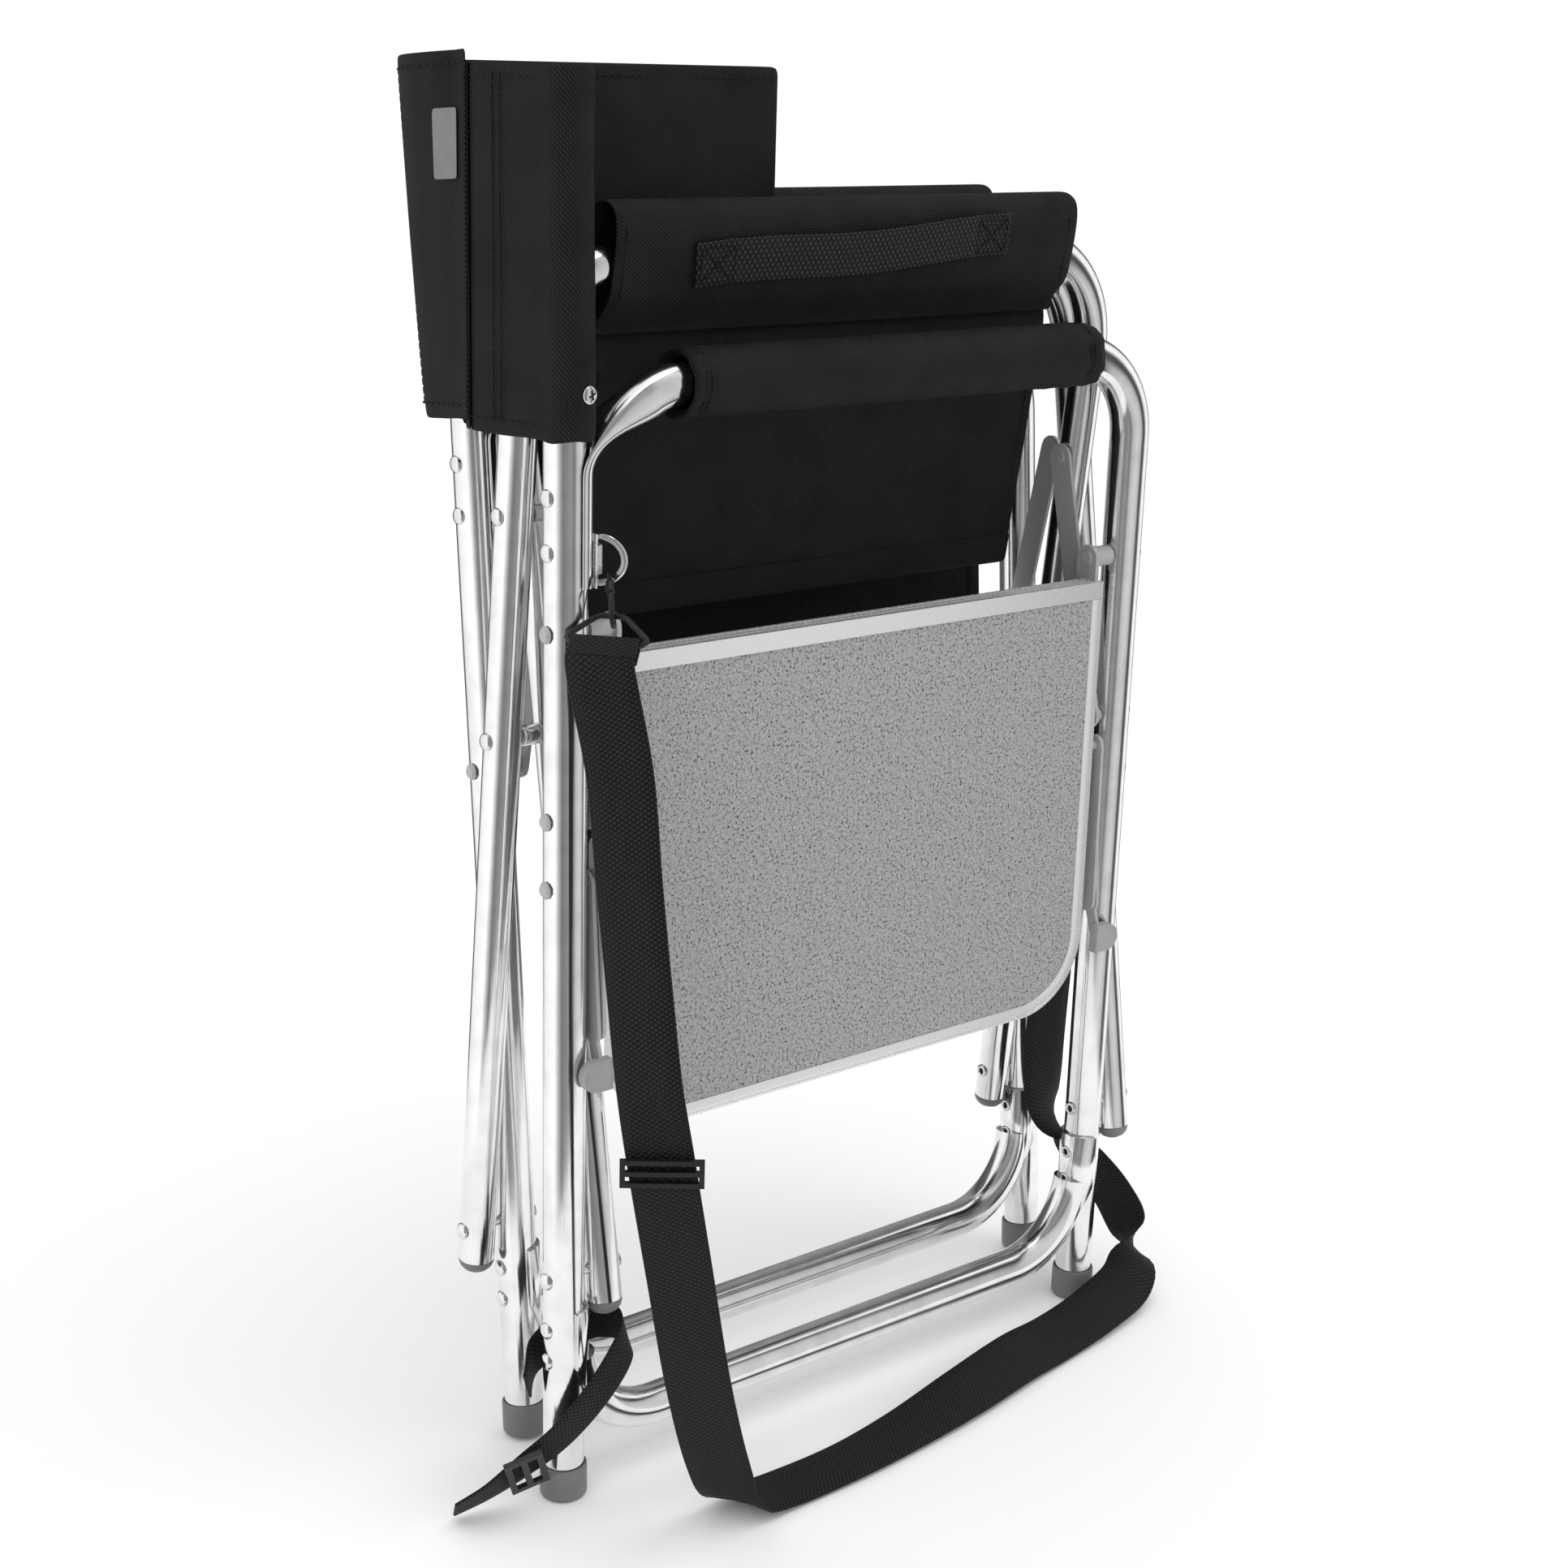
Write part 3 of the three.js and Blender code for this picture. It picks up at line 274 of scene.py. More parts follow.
MAT = {
    "polished_tube": polished_tube(),
    "grey_plastic": moulded("grey_plastic", (0.17, 0.173, 0.177), 0.5),
    "black_cloth": twill(),
    "webbing": webbing(),
    "handle": webbing("handle_webbing", 0.012, 0.003),
    "grey_bar": satin_metal("grey_bar", (0.46, 0.465, 0.47), 0.45, 0.25, (300, 300, 40)),
    "satin_aluminium": satin_metal("satin_aluminium", (0.86, 0.865, 0.87), 0.26, 0.6, (25, 900, 900)),
    "laminate": laminate(),
    "black_wire": satin_metal("black_wire", (0.02, 0.02, 0.021), 0.33, 0.4, (300, 300, 300)),
    "black_plastic": moulded("black_plastic", (0.018, 0.018, 0.018), 0.5),
    "steel": satin_metal("steel", (0.84, 0.845, 0.85), 0.16, 1.0, (120, 120, 120)),
    "thread": webbing("thread", 0.014, 0.0009),
    "pad_grey": moulded("pad_grey", (0.36, 0.365, 0.37), 0.45),
    "label": moulded("label", (0.2, 0.205, 0.21), 0.75),
    # near-black material for painted shade: the bores of hollow rivets and the screw's cross recess
    "painted_shade": moulded("painted_shade_bore", (0.01, 0.01, 0.01), 0.8),
}

# ---- Mesh tools -----------------------------------------------------------------------
# Turned profiles: (radius, height above the surface).
DOME = [(0, -0.3), (5.2, -0.3), (5.2, 0.25), (4.9, 0.9), (4.2, 1.6), (3.0, 2.1), (1.5, 2.4), (0, 2.5)]
HOLLOW = [(0, -0.3), (4.6, -0.3), (4.5, 0.7), (3.8, 1.15), (2.9, 1.25), (2.3, 0.95), (2.1, 0.35), (0, 0.35)]
# BORE_SHADE: a thin near-black disc sat inside a hollow rivet head, painted shade for the dark inside of its
# bore
BORE_SHADE = [(0, 0.58), (1.7, 0.7), (2.1, 0.62), (1.9, 0.5), (0, 0.5)]
BORE_SHADES = []  # painted shade discs for the bores of hollow heads, waiting for their heads' piece


def finish_piece(obj, body, replaces=()):
    while BORE_SHADES:
        # a disc of painted shade in the bore of each hollow head
        hole = Builder().turn(axis_matrix(*BORE_SHADES.pop()), BORE_SHADE, 16).make("rivet_bore_painted_shade", MAT["painted_shade"])
        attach(hole, body)
    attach(obj, body)
    if replaces:
        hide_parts(*replaces)
    return obj


def mesh_object(name, verts, faces, material, uvs=None, smooth=True):
    data = bpy.data.meshes.new(name)
    data.from_pydata([tuple(v) for v in verts], [], faces)
    data.polygons.foreach_set("use_smooth", [smooth] * len(data.polygons))
    if uvs is not None:
        layer = data.uv_layers.new(name="UVMap")
        index = np.zeros(len(data.loops), int)
        data.loops.foreach_get("vertex_index", index)
        layer.data.foreach_set("uv", np.array(uvs, np.float32)[index].ravel())
    data.materials.append(material)
    data.update()
    obj = bpy.data.objects.new(name, data)
    bpy.context.scene.collection.objects.link(obj)
    return obj


class Builder:
    """Collects several closed forms into one mesh."""

    def __init__(self):
        self.verts, self.faces, self.uvs = [], [], []

    def grid(self, rows, uvs, loop=True, caps=True):
        start = len(self.verts)
        n = len(rows[0])
        for row, uv in zip(rows, uvs):
            self.verts += row
            self.uvs += uv
        span = n if loop else n - 1
        for i in range(len(rows) - 1):
            a, b = start + i * n, start + (i + 1) * n
            for j in range(span):
                k = (j + 1) % n
                self.faces.append((a + j, a + k, b + k, b + j))
        if caps and loop:
            self.cap(rows[0], uvs[0], True)
            self.cap(rows[-1], uvs[-1], False)
        return self

    def cap(self, row, uv, flip):
        start = len(self.verts)
        self.verts += row
        self.uvs += uv
        ring = range(start, start + len(row))
        self.faces.append(tuple(reversed(ring)) if flip else tuple(ring))

    def sweep(self, points, section, side, caps=True):
        """section holds (a, b) pairs in metres: a along side, b square to it."""
        rows, uvs = [], []
        run = 0.0
        around = [0.0]
        for a, b in zip(section, section[1:]):
            around.append(around[-1] + math.dist(a, b))
        for i, p in enumerate(points):
            t = (points[min(i + 1, len(points) - 1)] - points[max(i - 1, 0)]).normalized()
            s = side[i] if isinstance(side, list) else side
            n = (s - t * s.dot(t)).normalized()
            b = t.cross(n)
            if i:
                run += (p - points[i - 1]).length
            rows.append([p + n * a + b * c for a, c in section])
            uvs.append([(u, run) for u in around])
        return self.grid(rows, uvs, True, caps)

    def turn(self, matrix, profile, sides=28):
        """A turned form about the matrix's own Z axis; profile rows are (radius, height) in mm."""
        rows, uvs = [], []
        angles = [2 * math.pi * k / sides for k in range(sides)]
        for r, h in profile:
            rows.append([spot(matrix, r * math.cos(a), r * math.sin(a), h) for a in angles])
            uvs.append([(r * a / 1000, h / 1000) for a in angles])
        self.grid(rows, uvs, True, False)
        for row, flip in ((0, True), (-1, False)):
            if profile[row][0] > 0:
                self.cap(rows[row], uvs[row], flip)
        return self

    def make(self, name, material, smooth=True):
        return mesh_object(name, self.verts, self.faces, material, self.uvs, smooth)

    def piece(self, name, material, body, replaces=(), slot=None):
        return finish_piece(self.make(name, MAT[material]), body, replaces)


def ring_section(r, sides=36):
    angles = [2 * math.pi * k / sides for k in range(sides)]
    return [(r / 1000 * math.cos(a), r / 1000 * math.sin(a)) for a in angles]


def arc_points(cy, cz, r, a, b, steps=24):
    angles = [math.radians(a + (b - a) * i / steps) for i in range(steps + 1)]
    return [(cy + r * math.cos(t), cz + r * math.sin(t)) for t in angles]


def arc_yz(m, cy, cz, r, a, b):
    return [spot(m, 0, y, z) for y, z in arc_points(cy, cz, r, a, b, 18)]


def axis_matrix(centre, direction):
    return Matrix.Translation(centre) @ direction.normalized().to_track_quat("Z", "Y").to_matrix().to_4x4()


def length_of(points):
    return sum(math.dist(a, b) for a, b in zip(points, points[1:]))


def auto_smooth(obj, degrees):
    """Marks hard edges so that long forms shade round and corners stay crisp."""
    bm = bmesh.new()
    bm.from_mesh(obj.data)
    bmesh.ops.recalc_face_normals(bm, faces=bm.faces)
    for edge in bm.edges:
        if len(edge.link_faces) == 2 and edge.calc_face_angle(0) > math.radians(degrees):
            edge.smooth = False
    bm.to_mesh(obj.data)
    bm.free()


def heads(build, items):
    """Rivet heads: (centre, direction, hollow)."""
    for centre, direction, hollow in items:
        if hollow:
            # a hollow head also gets a disc of painted shade in its bore
            BORE_SHADES.append((centre, direction))
        build.turn(axis_matrix(centre, direction), HOLLOW if hollow else DOME, 20)


# ---- Side frames ----------------------------------------------------------------------
def ramp_up(v, a, b):
    t = min(max((v - a) / (b - a), 0), 1)
    return t * t * (3 - 2 * t)


def pressed_tube(build, m, points, r, leg_y, press):
    """A tube in the side frame's plane whose end is pressed into a shell round the leg at leg_y.
    points are (y, z); press gives, for each, how far the section has gone over from round to shell."""
    sides = 40
    rows, uvs = [], []
    run = 0.0
    for i, (y, z) in enumerate(points):
        a, c = points[max(i - 1, 0)], points[min(i + 1, len(points) - 1)]
        ty, tz = c[0] - a[0], c[1] - a[1]
        size = math.hypot(ty, tz)
        ty, tz = ty / size, tz / size
        ny, nz = tz, -ty
        if i:
            run += math.hypot(y - points[i - 1][0], z - points[i - 1][1])
        row, uv = [], []
        for k in range(sides):
            f = 2 * math.pi * k / sides
            x0, n0 = r * math.cos(f), r * math.sin(f)
            theta = math.radians(84) * math.cos(f)
            shell = 14.2 + 1.1 * math.tanh(3 * math.sin(f))
            t = press[i]
            xs = x0 * (1 - t) + shell * math.sin(theta) * t
            ys = (y + ny * n0) * (1 - t) + (leg_y - shell * math.cos(theta)) * t
            row.append(spot(m, xs, ys, (z + nz * n0) * (1 - t) + z * t))
            uv.append((r * f / 1000, run / 1000))
        rows.append(row)
        uvs.append(uv)
    build.grid(rows, uvs)


def saddle(build, m, y, side, z0=62, z1=126):
    """Shell round a leg's inner side, square at its upper edge and rounded off below."""
    n = 28
    rows, uvs = [], []
    for i in range(n + 1):
        a = math.radians((2 if side > 0 else 182) + 176 * i / n)
        low = z0 + 26 * abs(2 * i / n - 1) ** 2.2
        high = z1 - 1.5 * abs(2 * i / n - 1) ** 6
        wall = ((12.8, low), (14.3, low), (14.9, low + 0.8), (14.9, high - 0.6), (14.3, high), (12.8, high))
        rows.append([spot(m, r * math.cos(a), y + r * math.sin(a), z) for r, z in wall])
        uvs.append([(a * 0.0145, z / 1000) for z in (low, low, low, high, high, high)])
    build.grid(rows, uvs)


SHOE = [(0, 0), (12.4, 0), (13.6, 0.5), (14.3, 1.6), (FOOT_R, 3), (14.3, 17), (14.2, 20), (13.7, 20.9),
        (12.9, 21), (12.8, 18)]
PLUG = [(0, -10), (9.4, -10), (9.4, 0.3), (12.3, 0.3), (12.4, 1.2), (11, 3), (7, 4.8), (0, 5.4)]
POST_TOP = 829


def side_frame(m, prefix, body):
    xdir = (m.to_3x3() @ Vector((1, 0, 0))).normalized()
    tube = ring_section(TUBE_R)
    post = [spot(m, 0, LEG_Y, z) for z in (4, 210, 420, 630, POST_TOP)]
    Builder().sweep(post, tube, xdir).piece(f"{prefix}_post_tube", "polished_tube", body,
                                            [f"{prefix}_rear_post"])
    path = [(-LEG_Y, 4), (-LEG_Y, 300)] + arc_points(-162, 613, 55, 180, 90)
    path += arc_points(136.5, 608, 60, 90, 8, 40)
    path += [(198, z) for z in (606, 596, 586, 576, 566, 562)]
    press = [0] * 27 + [ramp_up(i / 40, 0.36, 0.93) for i in range(41)] + [1] * 6
    b = Builder()
    pressed_tube(b, m, path, TUBE_R, LEG_Y, press)
    b.piece(f"{prefix}_armrest_tube", "polished_tube", body, [f"{prefix}_arm_tube"])
    b = Builder()
    b.sweep(arc_yz(m, -150, 98, 60, 186, 270) + arc_yz(m, 150, 98, 60, 270, 354), tube, xdir)
    saddle(b, m, LEG_Y, -1)
    saddle(b, m, -LEG_Y, 1)
    b.piece(f"{prefix}_rail_tube", "polished_tube", body, [f"{prefix}_floor_rail"])
    for y, end in ((LEG_Y, "rear"), (-LEG_Y, "front")):
        b = Builder().turn(m @ Matrix.Translation((0, y / 1000, 0)), SHOE, 40)
        b.piece(f"{prefix}_{end}_shoe", "grey_plastic", body, [f"{prefix}_{end}_foot"])
    b = Builder().turn(m @ Matrix.Translation((0, LEG_Y / 1000, POST_TOP / 1000)), PLUG, 32)
    b.piece(f"{prefix}_plug", "grey_plastic", body, [f"{prefix}_post_plug"])


side_frame(NEAR, "near", "near_frame")
side_frame(FAR, "far", "far_frame")


# Pan-head screw that holds the back cloth's sleeve on the near post, with a cross recess drawn as two near-black
# bars of painted shade.
def cross_screw():
    way = Vector((-0.95, -0.3, 0))
    m = axis_matrix(at(0, LEG_Y, 667) + way.normalized() * 0.0154, way)
    head = [(0, -0.4), (5.3, -0.4), (5.3, 0.6), (5.0, 1.3), (4.2, 1.9), (2.6, 2.3), (0, 2.4)]
    Builder().turn(m, head, 32).piece("sleeve_screw", "steel", "back_near_side")
    slot = [(0.00055, 0.0004), (-0.00055, 0.0004), (-0.00055, -0.0004), (0.00055, -0.0004)]
    # the cross recess: two near-black bars on the head's face, painted shade for the recess's dark inside
    b = Builder()
    for a in (math.radians(20), math.radians(110)):
        along = Vector((math.cos(a), math.sin(a), 0)) * 0.0026
        side = m.to_3x3() @ Vector((-math.sin(a), math.cos(a), 0))
        face = Vector((0, 0, 0.00215))
        b.sweep([m @ (face - along), m @ (face + along)], slot, side)
    b.piece("sleeve_screw_recess_painted_shade", "painted_shade", "back_near_side", slot="steel")


cross_screw()


# Rivets: domed on the outside, hollow on the inside of each leg.
def frame_rivets(m, body, outer=229.3, inner=202.6):
    arm, rail = (611, 581), (112.6, 92)
    b = Builder()
    heads(b, [(spot(m, 0, outer, z), Y, False) for z in arm + rail]
          + [(spot(m, 0, -outer, z), -Y, False) for z in rail]
          + [(spot(m, 0, inner, z), -Y, True) for z in rail]
          + [(spot(m, 0, -inner, z), Y, True) for z in rail])
    b.piece(body + "_rivets", "steel", body)


frame_rivets(NEAR, "near_frame")
frame_rivets(FAR, "far_frame")


def pin(name, node, body, x, z, y0, y1, rear_dome=True, spacer=None):
    b = Builder()
    b.sweep([at(x, y0, z), at(x, y1, z)], ring_section(3, 16), Vector((0, 0, 1)))
    if spacer:
        long = spacer[1] - spacer[0]
        b.turn(axis_matrix(at(x, spacer[0], z), Y),
               [(0, 0), (5.6, 0), (6, 0.4), (6, long - 0.4), (5.6, long), (0, long)], 28)
    heads(b, [(at(x, y1, z), Y, not rear_dome), (at(x, y0, z), -Y, rear_dome)])
    b.piece(name, "steel", body, [node])


pin("near_rear_pivot_rivet", "near_rear_pivot", "near_frame", 0, PIVOT_Z, 179.2, 229.8)
pin("near_front_pivot_rivet", "near_front_pivot", "near_frame", 0, PIVOT_Z, -254.8, -204.2, False)
pin("far_rear_pivot_rivet", "far_rear_pivot", "far_frame", FAR_X, PIVOT_Z, 185.2, 235.8)
pin("far_front_pivot_rivet", "far_front_pivot", "far_frame", FAR_X, PIVOT_Z, -248.8, -198.2, False)
pin("rear_crossing_rivet", "rear_crossing_pin", "near_foot_seat", CROSS_X, CROSS_Z, 179.2, 235.8, True,
    (202, 213))
pin("front_crossing_rivet", "front_crossing_pin", "near_foot_seat", CROSS_X, CROSS_Z, -254.8, -198.2, False,
    (-232, -221))


# ---- Scissor tubes --------------------------------------------------------------------
CAP = [(0, -9), (8.4, -9), (8.4, 0.3), (10.7, 0.3), (10.95, 0.8), (10.9, 2), (10, 4.6), (7.6, 7.2), (4.2, 8.8),
       (0, 9.3)]


def seat_tube(m, name, arm, y_rear, y_front, body, node, stud_y, way):
    top, bend, foot, r = arm + RAIL_REACH, 68, -21, 11
    xdir = (m.to_3x3() @ Vector((1, 0, 0))).normalized()
    path = [spot(m, 0, y_front, z) for z in (foot, 200)]
    path += arc_yz(m, y_front + bend, top - bend, bend, 180, 90)
    path += arc_yz(m, y_rear - bend, top - bend, bend, 90, 0)
    path += [spot(m, 0, y_rear, z) for z in (200, foot)]
    Builder().sweep(path, ring_section(r), xdir).piece(name, "polished_tube", body, [node])
    b = Builder()
    heads(b, [(spot(m, 0, stud_y, arm + 131.7), Y * way, False)])
    b.piece(name + "_link_head", "steel", body)
    short = node.replace("_tube", "")
    for y, end in ((y_rear, "rear"), (y_front, "front")):
        down = m @ Matrix.Translation((0, y / 1000, foot / 1000)) @ Matrix.Rotation(math.pi, 4, "X")
        b = Builder().turn(down, CAP, 32)
        b.piece(f"{short}_{end}_dome", "grey_plastic", body, [f"{short}_{end}_cap"])


seat_tube(NEAR_TUBE, "near_foot_tube", NEAR_ARM, 190.5, -243.5, "near_foot_seat", "near_foot_seat_tube",
          -254.5, -1)
seat_tube(FAR_TUBE, "far_foot_tube", FAR_ARM, 224.5, -209.5, "far_foot_seat", "far_foot_seat_tube", 235.5, 1)

# ---- Pieces shown as they come ----------------------------------------------------------
slots = {s["node"]: s["material_slot"] for s in frame["record"]["subparts"]}
for node, obj in frame["nodes"].items():
    obj.data.materials.clear()
    obj.data.materials.append(MAT[slots[node]])


# ---- Cloth ----------------------------------------------------------------------------
def ease(points, per=6):
    """Catmull-Rom through points, any number of numbers each."""
    pts = [np.array(p, float) for p in points]
    out = []
    for i in range(len(pts) - 1):
        p0, p1, p2, p3 = pts[max(i - 1, 0)], pts[i], pts[i + 1], pts[min(i + 2, len(pts) - 1)]
        for k in range(per):
            t = k / per
            bend, twist = 2 * p0 - 5 * p1 + 4 * p2 - p3, 3 * p1 - p0 - 3 * p2 + p3
            out.append(0.5 * (2 * p1 + (p2 - p0) * t + bend * t * t + twist * t ** 3))
    out.append(pts[-1])
    return out


def cloth_grid(name, rows, thickness, material):
    """rows[i][j] are points; the sheet is thickened and smoothed."""
    n = len(rows[0])
    verts, uvs, faces = [], [], []
    run = 0.0
    for i, row in enumerate(rows):
        if i:
            run += (row[n // 2] - rows[i - 1][n // 2]).length
        across = 0.0
        for j, p in enumerate(row):
            if j:
                across += (p - row[j - 1]).length
            verts.append(p)
            uvs.append((across, run))
    for i in range(len(rows) - 1):
        for j in range(n - 1):
            a, c = i * n + j, (i + 1) * n + j
            faces.append((a, a + 1, c + 1, c))
    obj = mesh_object(name, verts, faces, material, uvs)
    thick = obj.modifiers.new("thick", "SOLIDIFY")
    thick.thickness = thickness
    thick.offset = 0
    thick.use_rim = True
    fine = obj.modifiers.new("fine", "SUBSURF")
    fine.levels = fine.render_levels = 1
    bpy.context.view_layer.update()
    evaluated = obj.evaluated_get(bpy.context.evaluated_depsgraph_get())
    data = bpy.data.meshes.new_from_object(evaluated)
    data.name = name
    obj.modifiers.clear()
    obj.data = data
    data.polygons.foreach_set("use_smooth", [True] * len(data.polygons))
    return obj


def crease(p, scale, seed):
    return noise.noise(Vector((p.x * scale[0] + seed, p.y * scale[1], p.z * scale[2])))


THREAD_R = 0.42


def stitch_line(build, points, outward, length=3.4, gap=1.5, r=THREAD_R):
    """Thread stitches along a line of points, standing a little proud on the outward side."""
    run = [0.0]
    for i in range(1, len(points)):
        run.append(run[-1] + (points[i] - points[i - 1]).length * 1000)
    place = np.array([list(p) for p in points])
    start = gap
    while start + length < run[-1]:
        stops = (start, start + length / 2, start + length)
        a, middle, b = (Vector([np.interp(s, run, place[:, k]) for k in range(3)]) for s in stops)
        lift = outward.normalized() * (r * 0.5 / 1000)
        path = [a - lift * 0.6, a + lift, middle + lift * 1.6, b + lift, b - lift * 0.6]
        side = outward.cross(b - a).normalized()
        build.sweep(path, ring_section(r, 6), side, False)
        start += length + gap


FOLD_Z = 527  # underside of the seat's V
SEAT_TOP = 766


def seat_half(name, node, body, rail, fold_x, way, seed, y_rear, y_front):
    """way is -1 for the half whose outer side faces -X."""
    lean = math.atan2(fold_x - rail[0], rail[1] - FOLD_Z)
    across, along = math.cos(lean), math.sin(lean)
    foot = -(rail[1] - FOLD_Z) / across
    top = SEAT_TOP - rail[1] - 12.2 - 1.8
    shape = [(0, foot), (0, foot * 0.75), (0, foot * 0.5), (0.2, -56), (3 * -way, -42), (9 * -way, -32),
             (12.6 * -way, -22), (13 * -way, -8), (13 * -way, top - 4), (9.4 * -way, top + 9), (0, top + 12.6),
             (9.4 * way, top + 9), (13 * way, top - 4), (13 * way, -8), (11.6 * way, -19), (6.8 * way, -27),
             (3.0 * way, -33), (2.4 * way, -41)]
    line = ease(shape, 3)
    steps = 44
    rows = []
    for p, q in line:
        row = []
        free = min(1.0, abs(q - foot) / 30) * (1.0 if q < -30 else 0.35)
        for j in range(steps + 1):
            y = y_rear + (y_front - y_rear) * j / steps
            point = at(rail[0] + p * across - q * along, y, rail[1] + p * along + q * across)
            wave = crease(point, (6, 9, 16), seed) * 1.1 + crease(point, (10, 34, 12), seed + 7) * 0.5
            point.x += way * wave * free / 1000
            point.z -= (0.48 if q < -60 else 0.2) * math.sin(math.pi * j / steps) / 1000
            row.append(point)
        rows.append(row)
    obj = cloth_grid(name, rows, 0.0016, MAT["black_cloth"])
    finish_piece(obj, body, [node])
    length_of(line) / 1000
    threads = Builder()
    normal = Vector((way * across, 0, way * along))
    for q, inset in ((-30.5, 0), (-37, 1.9)):
        x = rail[0] + 5.6 * way * across - q * along - inset * way
        z = rail[1] + q * across
        stitch_line(threads, [at(x, y, z) for y in np.linspace(y_rear - 4, y_front + 4, 60)], normal)
    for y in (y_rear - 7, y_front + 7):
        for start, end, out in ((-62, foot + 6, 0.9), (top, -30, 13.9)):
            stitch_line(threads, [at(rail[0] + out * way * across - q * along, y, rail[1] + q * across)
                                  for q in np.linspace(start, end, 40)], normal)
    threads.piece(name + "_stitching", "thread", body, slot="webbing")
    return lean


near_lean = seat_half("seat_near_cloth", "seat_near_panel", "seat_near", NEAR_RAIL, 60.8, -1, 3, 178, -170)
seat_half("seat_far_cloth", "seat_far_panel", "seat_far", FAR_RAIL, 65.2, 1, 11, 172, -172)


# The seat cloth is one length: this is its middle, folded under between the two halves.
fold_rows = []
fold_line = [(56.9, 545), (59.3, 530), (60.4, 526.2), (63, 524.6), (65.6, 526.2), (66.8, 530), (69.1, 545)]
for x, z in ease(fold_line, 4):
    fold_rows.append([at(x, y, z) for y in np.linspace(176, -170.5, 46)])
middle = cloth_grid("seat_middle_fold", fold_rows, 0.0012, MAT["black_cloth"])
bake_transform(middle)


def carry_handle():
    """A webbing strap sewn down at both ends and bowed a little off the cloth between them."""
    def place(p, q, y):
        return at(NEAR_RAIL[0] + p * math.cos(near_lean) - q * math.sin(near_lean), y,
                  NEAR_RAIL[1] + p * math.sin(near_lean) + q * math.cos(near_lean))
    centre = []
    up = (place(0, 1, 0) - place(0, 0, 0)).normalized()
    for k in range(49):
        t = k / 48
        y = 124 - 234 * t
        held = min(max((t - 0.1) / 0.8, 0), 1)
        bow = 3.4 * math.sin(math.pi * held) ** 0.6 if 0 < held < 1 else 0
        centre.append(place(-15.4 - bow, -1 + 12 * t + 1.2 * math.sin(9 * t), y))
    edge = [(0.0125, 0.0006), (0.0118, 0.0011), (-0.0118, 0.0011), (-0.0125, 0.0006)]
    section = edge + [(a, -c) for a, c in reversed(edge)]
    obj = Builder().sweep(centre, section, up).make("carry_handle_strap", MAT["handle"], False)
    finish_piece(obj, "seat_near", ["carry_handle"])
    t = Builder()
    for y0, q0 in ((121, -1), (-84, 10.5)):
        y1, high, low = y0 - 23, q0 + 10.8, q0 - 9.2
        crossed = [(y0, q0 + 10), (y1, high), (y1, low), (y0, q0 - 10), (y0, q0 + 10), (y1, low)]
        for line in (crossed, [(y0, q0 - 10), (y1, high)]):
            pts = []
            for (ya, qa), (yb, qb) in zip(line, line[1:]):
                pts += [place(-16.8, qa + (qb - qa) * s, ya + (yb - ya) * s) for s in np.linspace(0, 1, 8)]
            stitch_line(t, pts, Vector((-1, 0, 0)), 2.6, 1.2, 0.4)
    t.piece("carry_handle_stitching", "thread", "seat_near", slot="webbing")


carry_handle()


# Back cloth: sheets that stand up along a line seen from above.
BACK_LOW, BACK_HIGH = 643, 835


def far_shear(x, z):
    """Sideways shift that keeps the rear flap's free edge upright on the leaning frame."""
    return -min(max(x / -64.4, 0), 1) * math.tan(TILT) * (z - 739.5)


def far_push(x, y, z):
    """The rear flap bellies out towards its top."""
    if y < 236 or x >= -2:
        return 0.0
    return 9.5 * max(0.0, 1 - ((x + 34) / 42) ** 2) * max(0.0, (z - BACK_LOW) / 192) ** 0.8


def far_place(x, y, z):
    return spot(FAR, x + far_shear(x, z), y + far_push(x, y, z), z)


def back_sheet(name, node, body, line, high, seed, amp, place=at):
    pts = ease(line, 4)
    steps = 26
    rows = []
    for i, (x, y) in enumerate(pts):
        row = []
        share = i / (len(pts) - 1)
        free = min(1.0, min(share, 1 - share) * 5)
        for j in range(steps + 1):
            s = j / steps
            point = place(x, y, BACK_LOW + (high - BACK_LOW) * s)
            wave = crease(point, (14, 14, 7), seed) + 0.5 * crease(point, (30, 30, 12), seed + 3)
            point.x += wave * amp * free / 1000
            point.y += wave * amp * 0.6 * free / 1000
            hem = (1 - s) ** 6
            point.z -= (1.2 + 2.2 * noise.noise(Vector((share * 9 + seed, 0, 0)))) * hem / 1000
            row.append(point)
        rows.append(row)
    obj = cloth_grid(name, rows, 0.0015, MAT["black_cloth"])
    finish_piece(obj, body, [node])
    length_of(pts) / 1000


def loop_line(tail, r=14.3, turns=14):
    """Once round the post, starting and ending at the tail's root."""
    angles = [math.radians(84) - k * 2 * math.pi / turns for k in range(turns)]
    return [(r * math.cos(a), LEG_Y + r * math.sin(a)) for a in angles] + [(2, LEG_Y + r + 1.0)] + tail


near_line = loop_line([(14, 236), (30, 240.6), (44, 244.6), (53, 243.6)])
back_sheet("back_near_wrap", "back_near_sleeve", "back_near_side", near_line, BACK_HIGH, 5, 1.5)
back_sheet("back_near_sheet", "back_near_panel", "back_near",
           [(55.6, 242.4), (57.4, 190), (58.6, 135), (59.8, 80), (60.5, 31)], BACK_HIGH + 0.5, 21, 1.9)
back_sheet("back_far_sheet", "back_far_panel", "back_far",
           [(63.5, 31), (64.6, 90), (66, 150), (67.4, 200), (68.8, 240)], BACK_HIGH + 0.5, 31, 0.8)


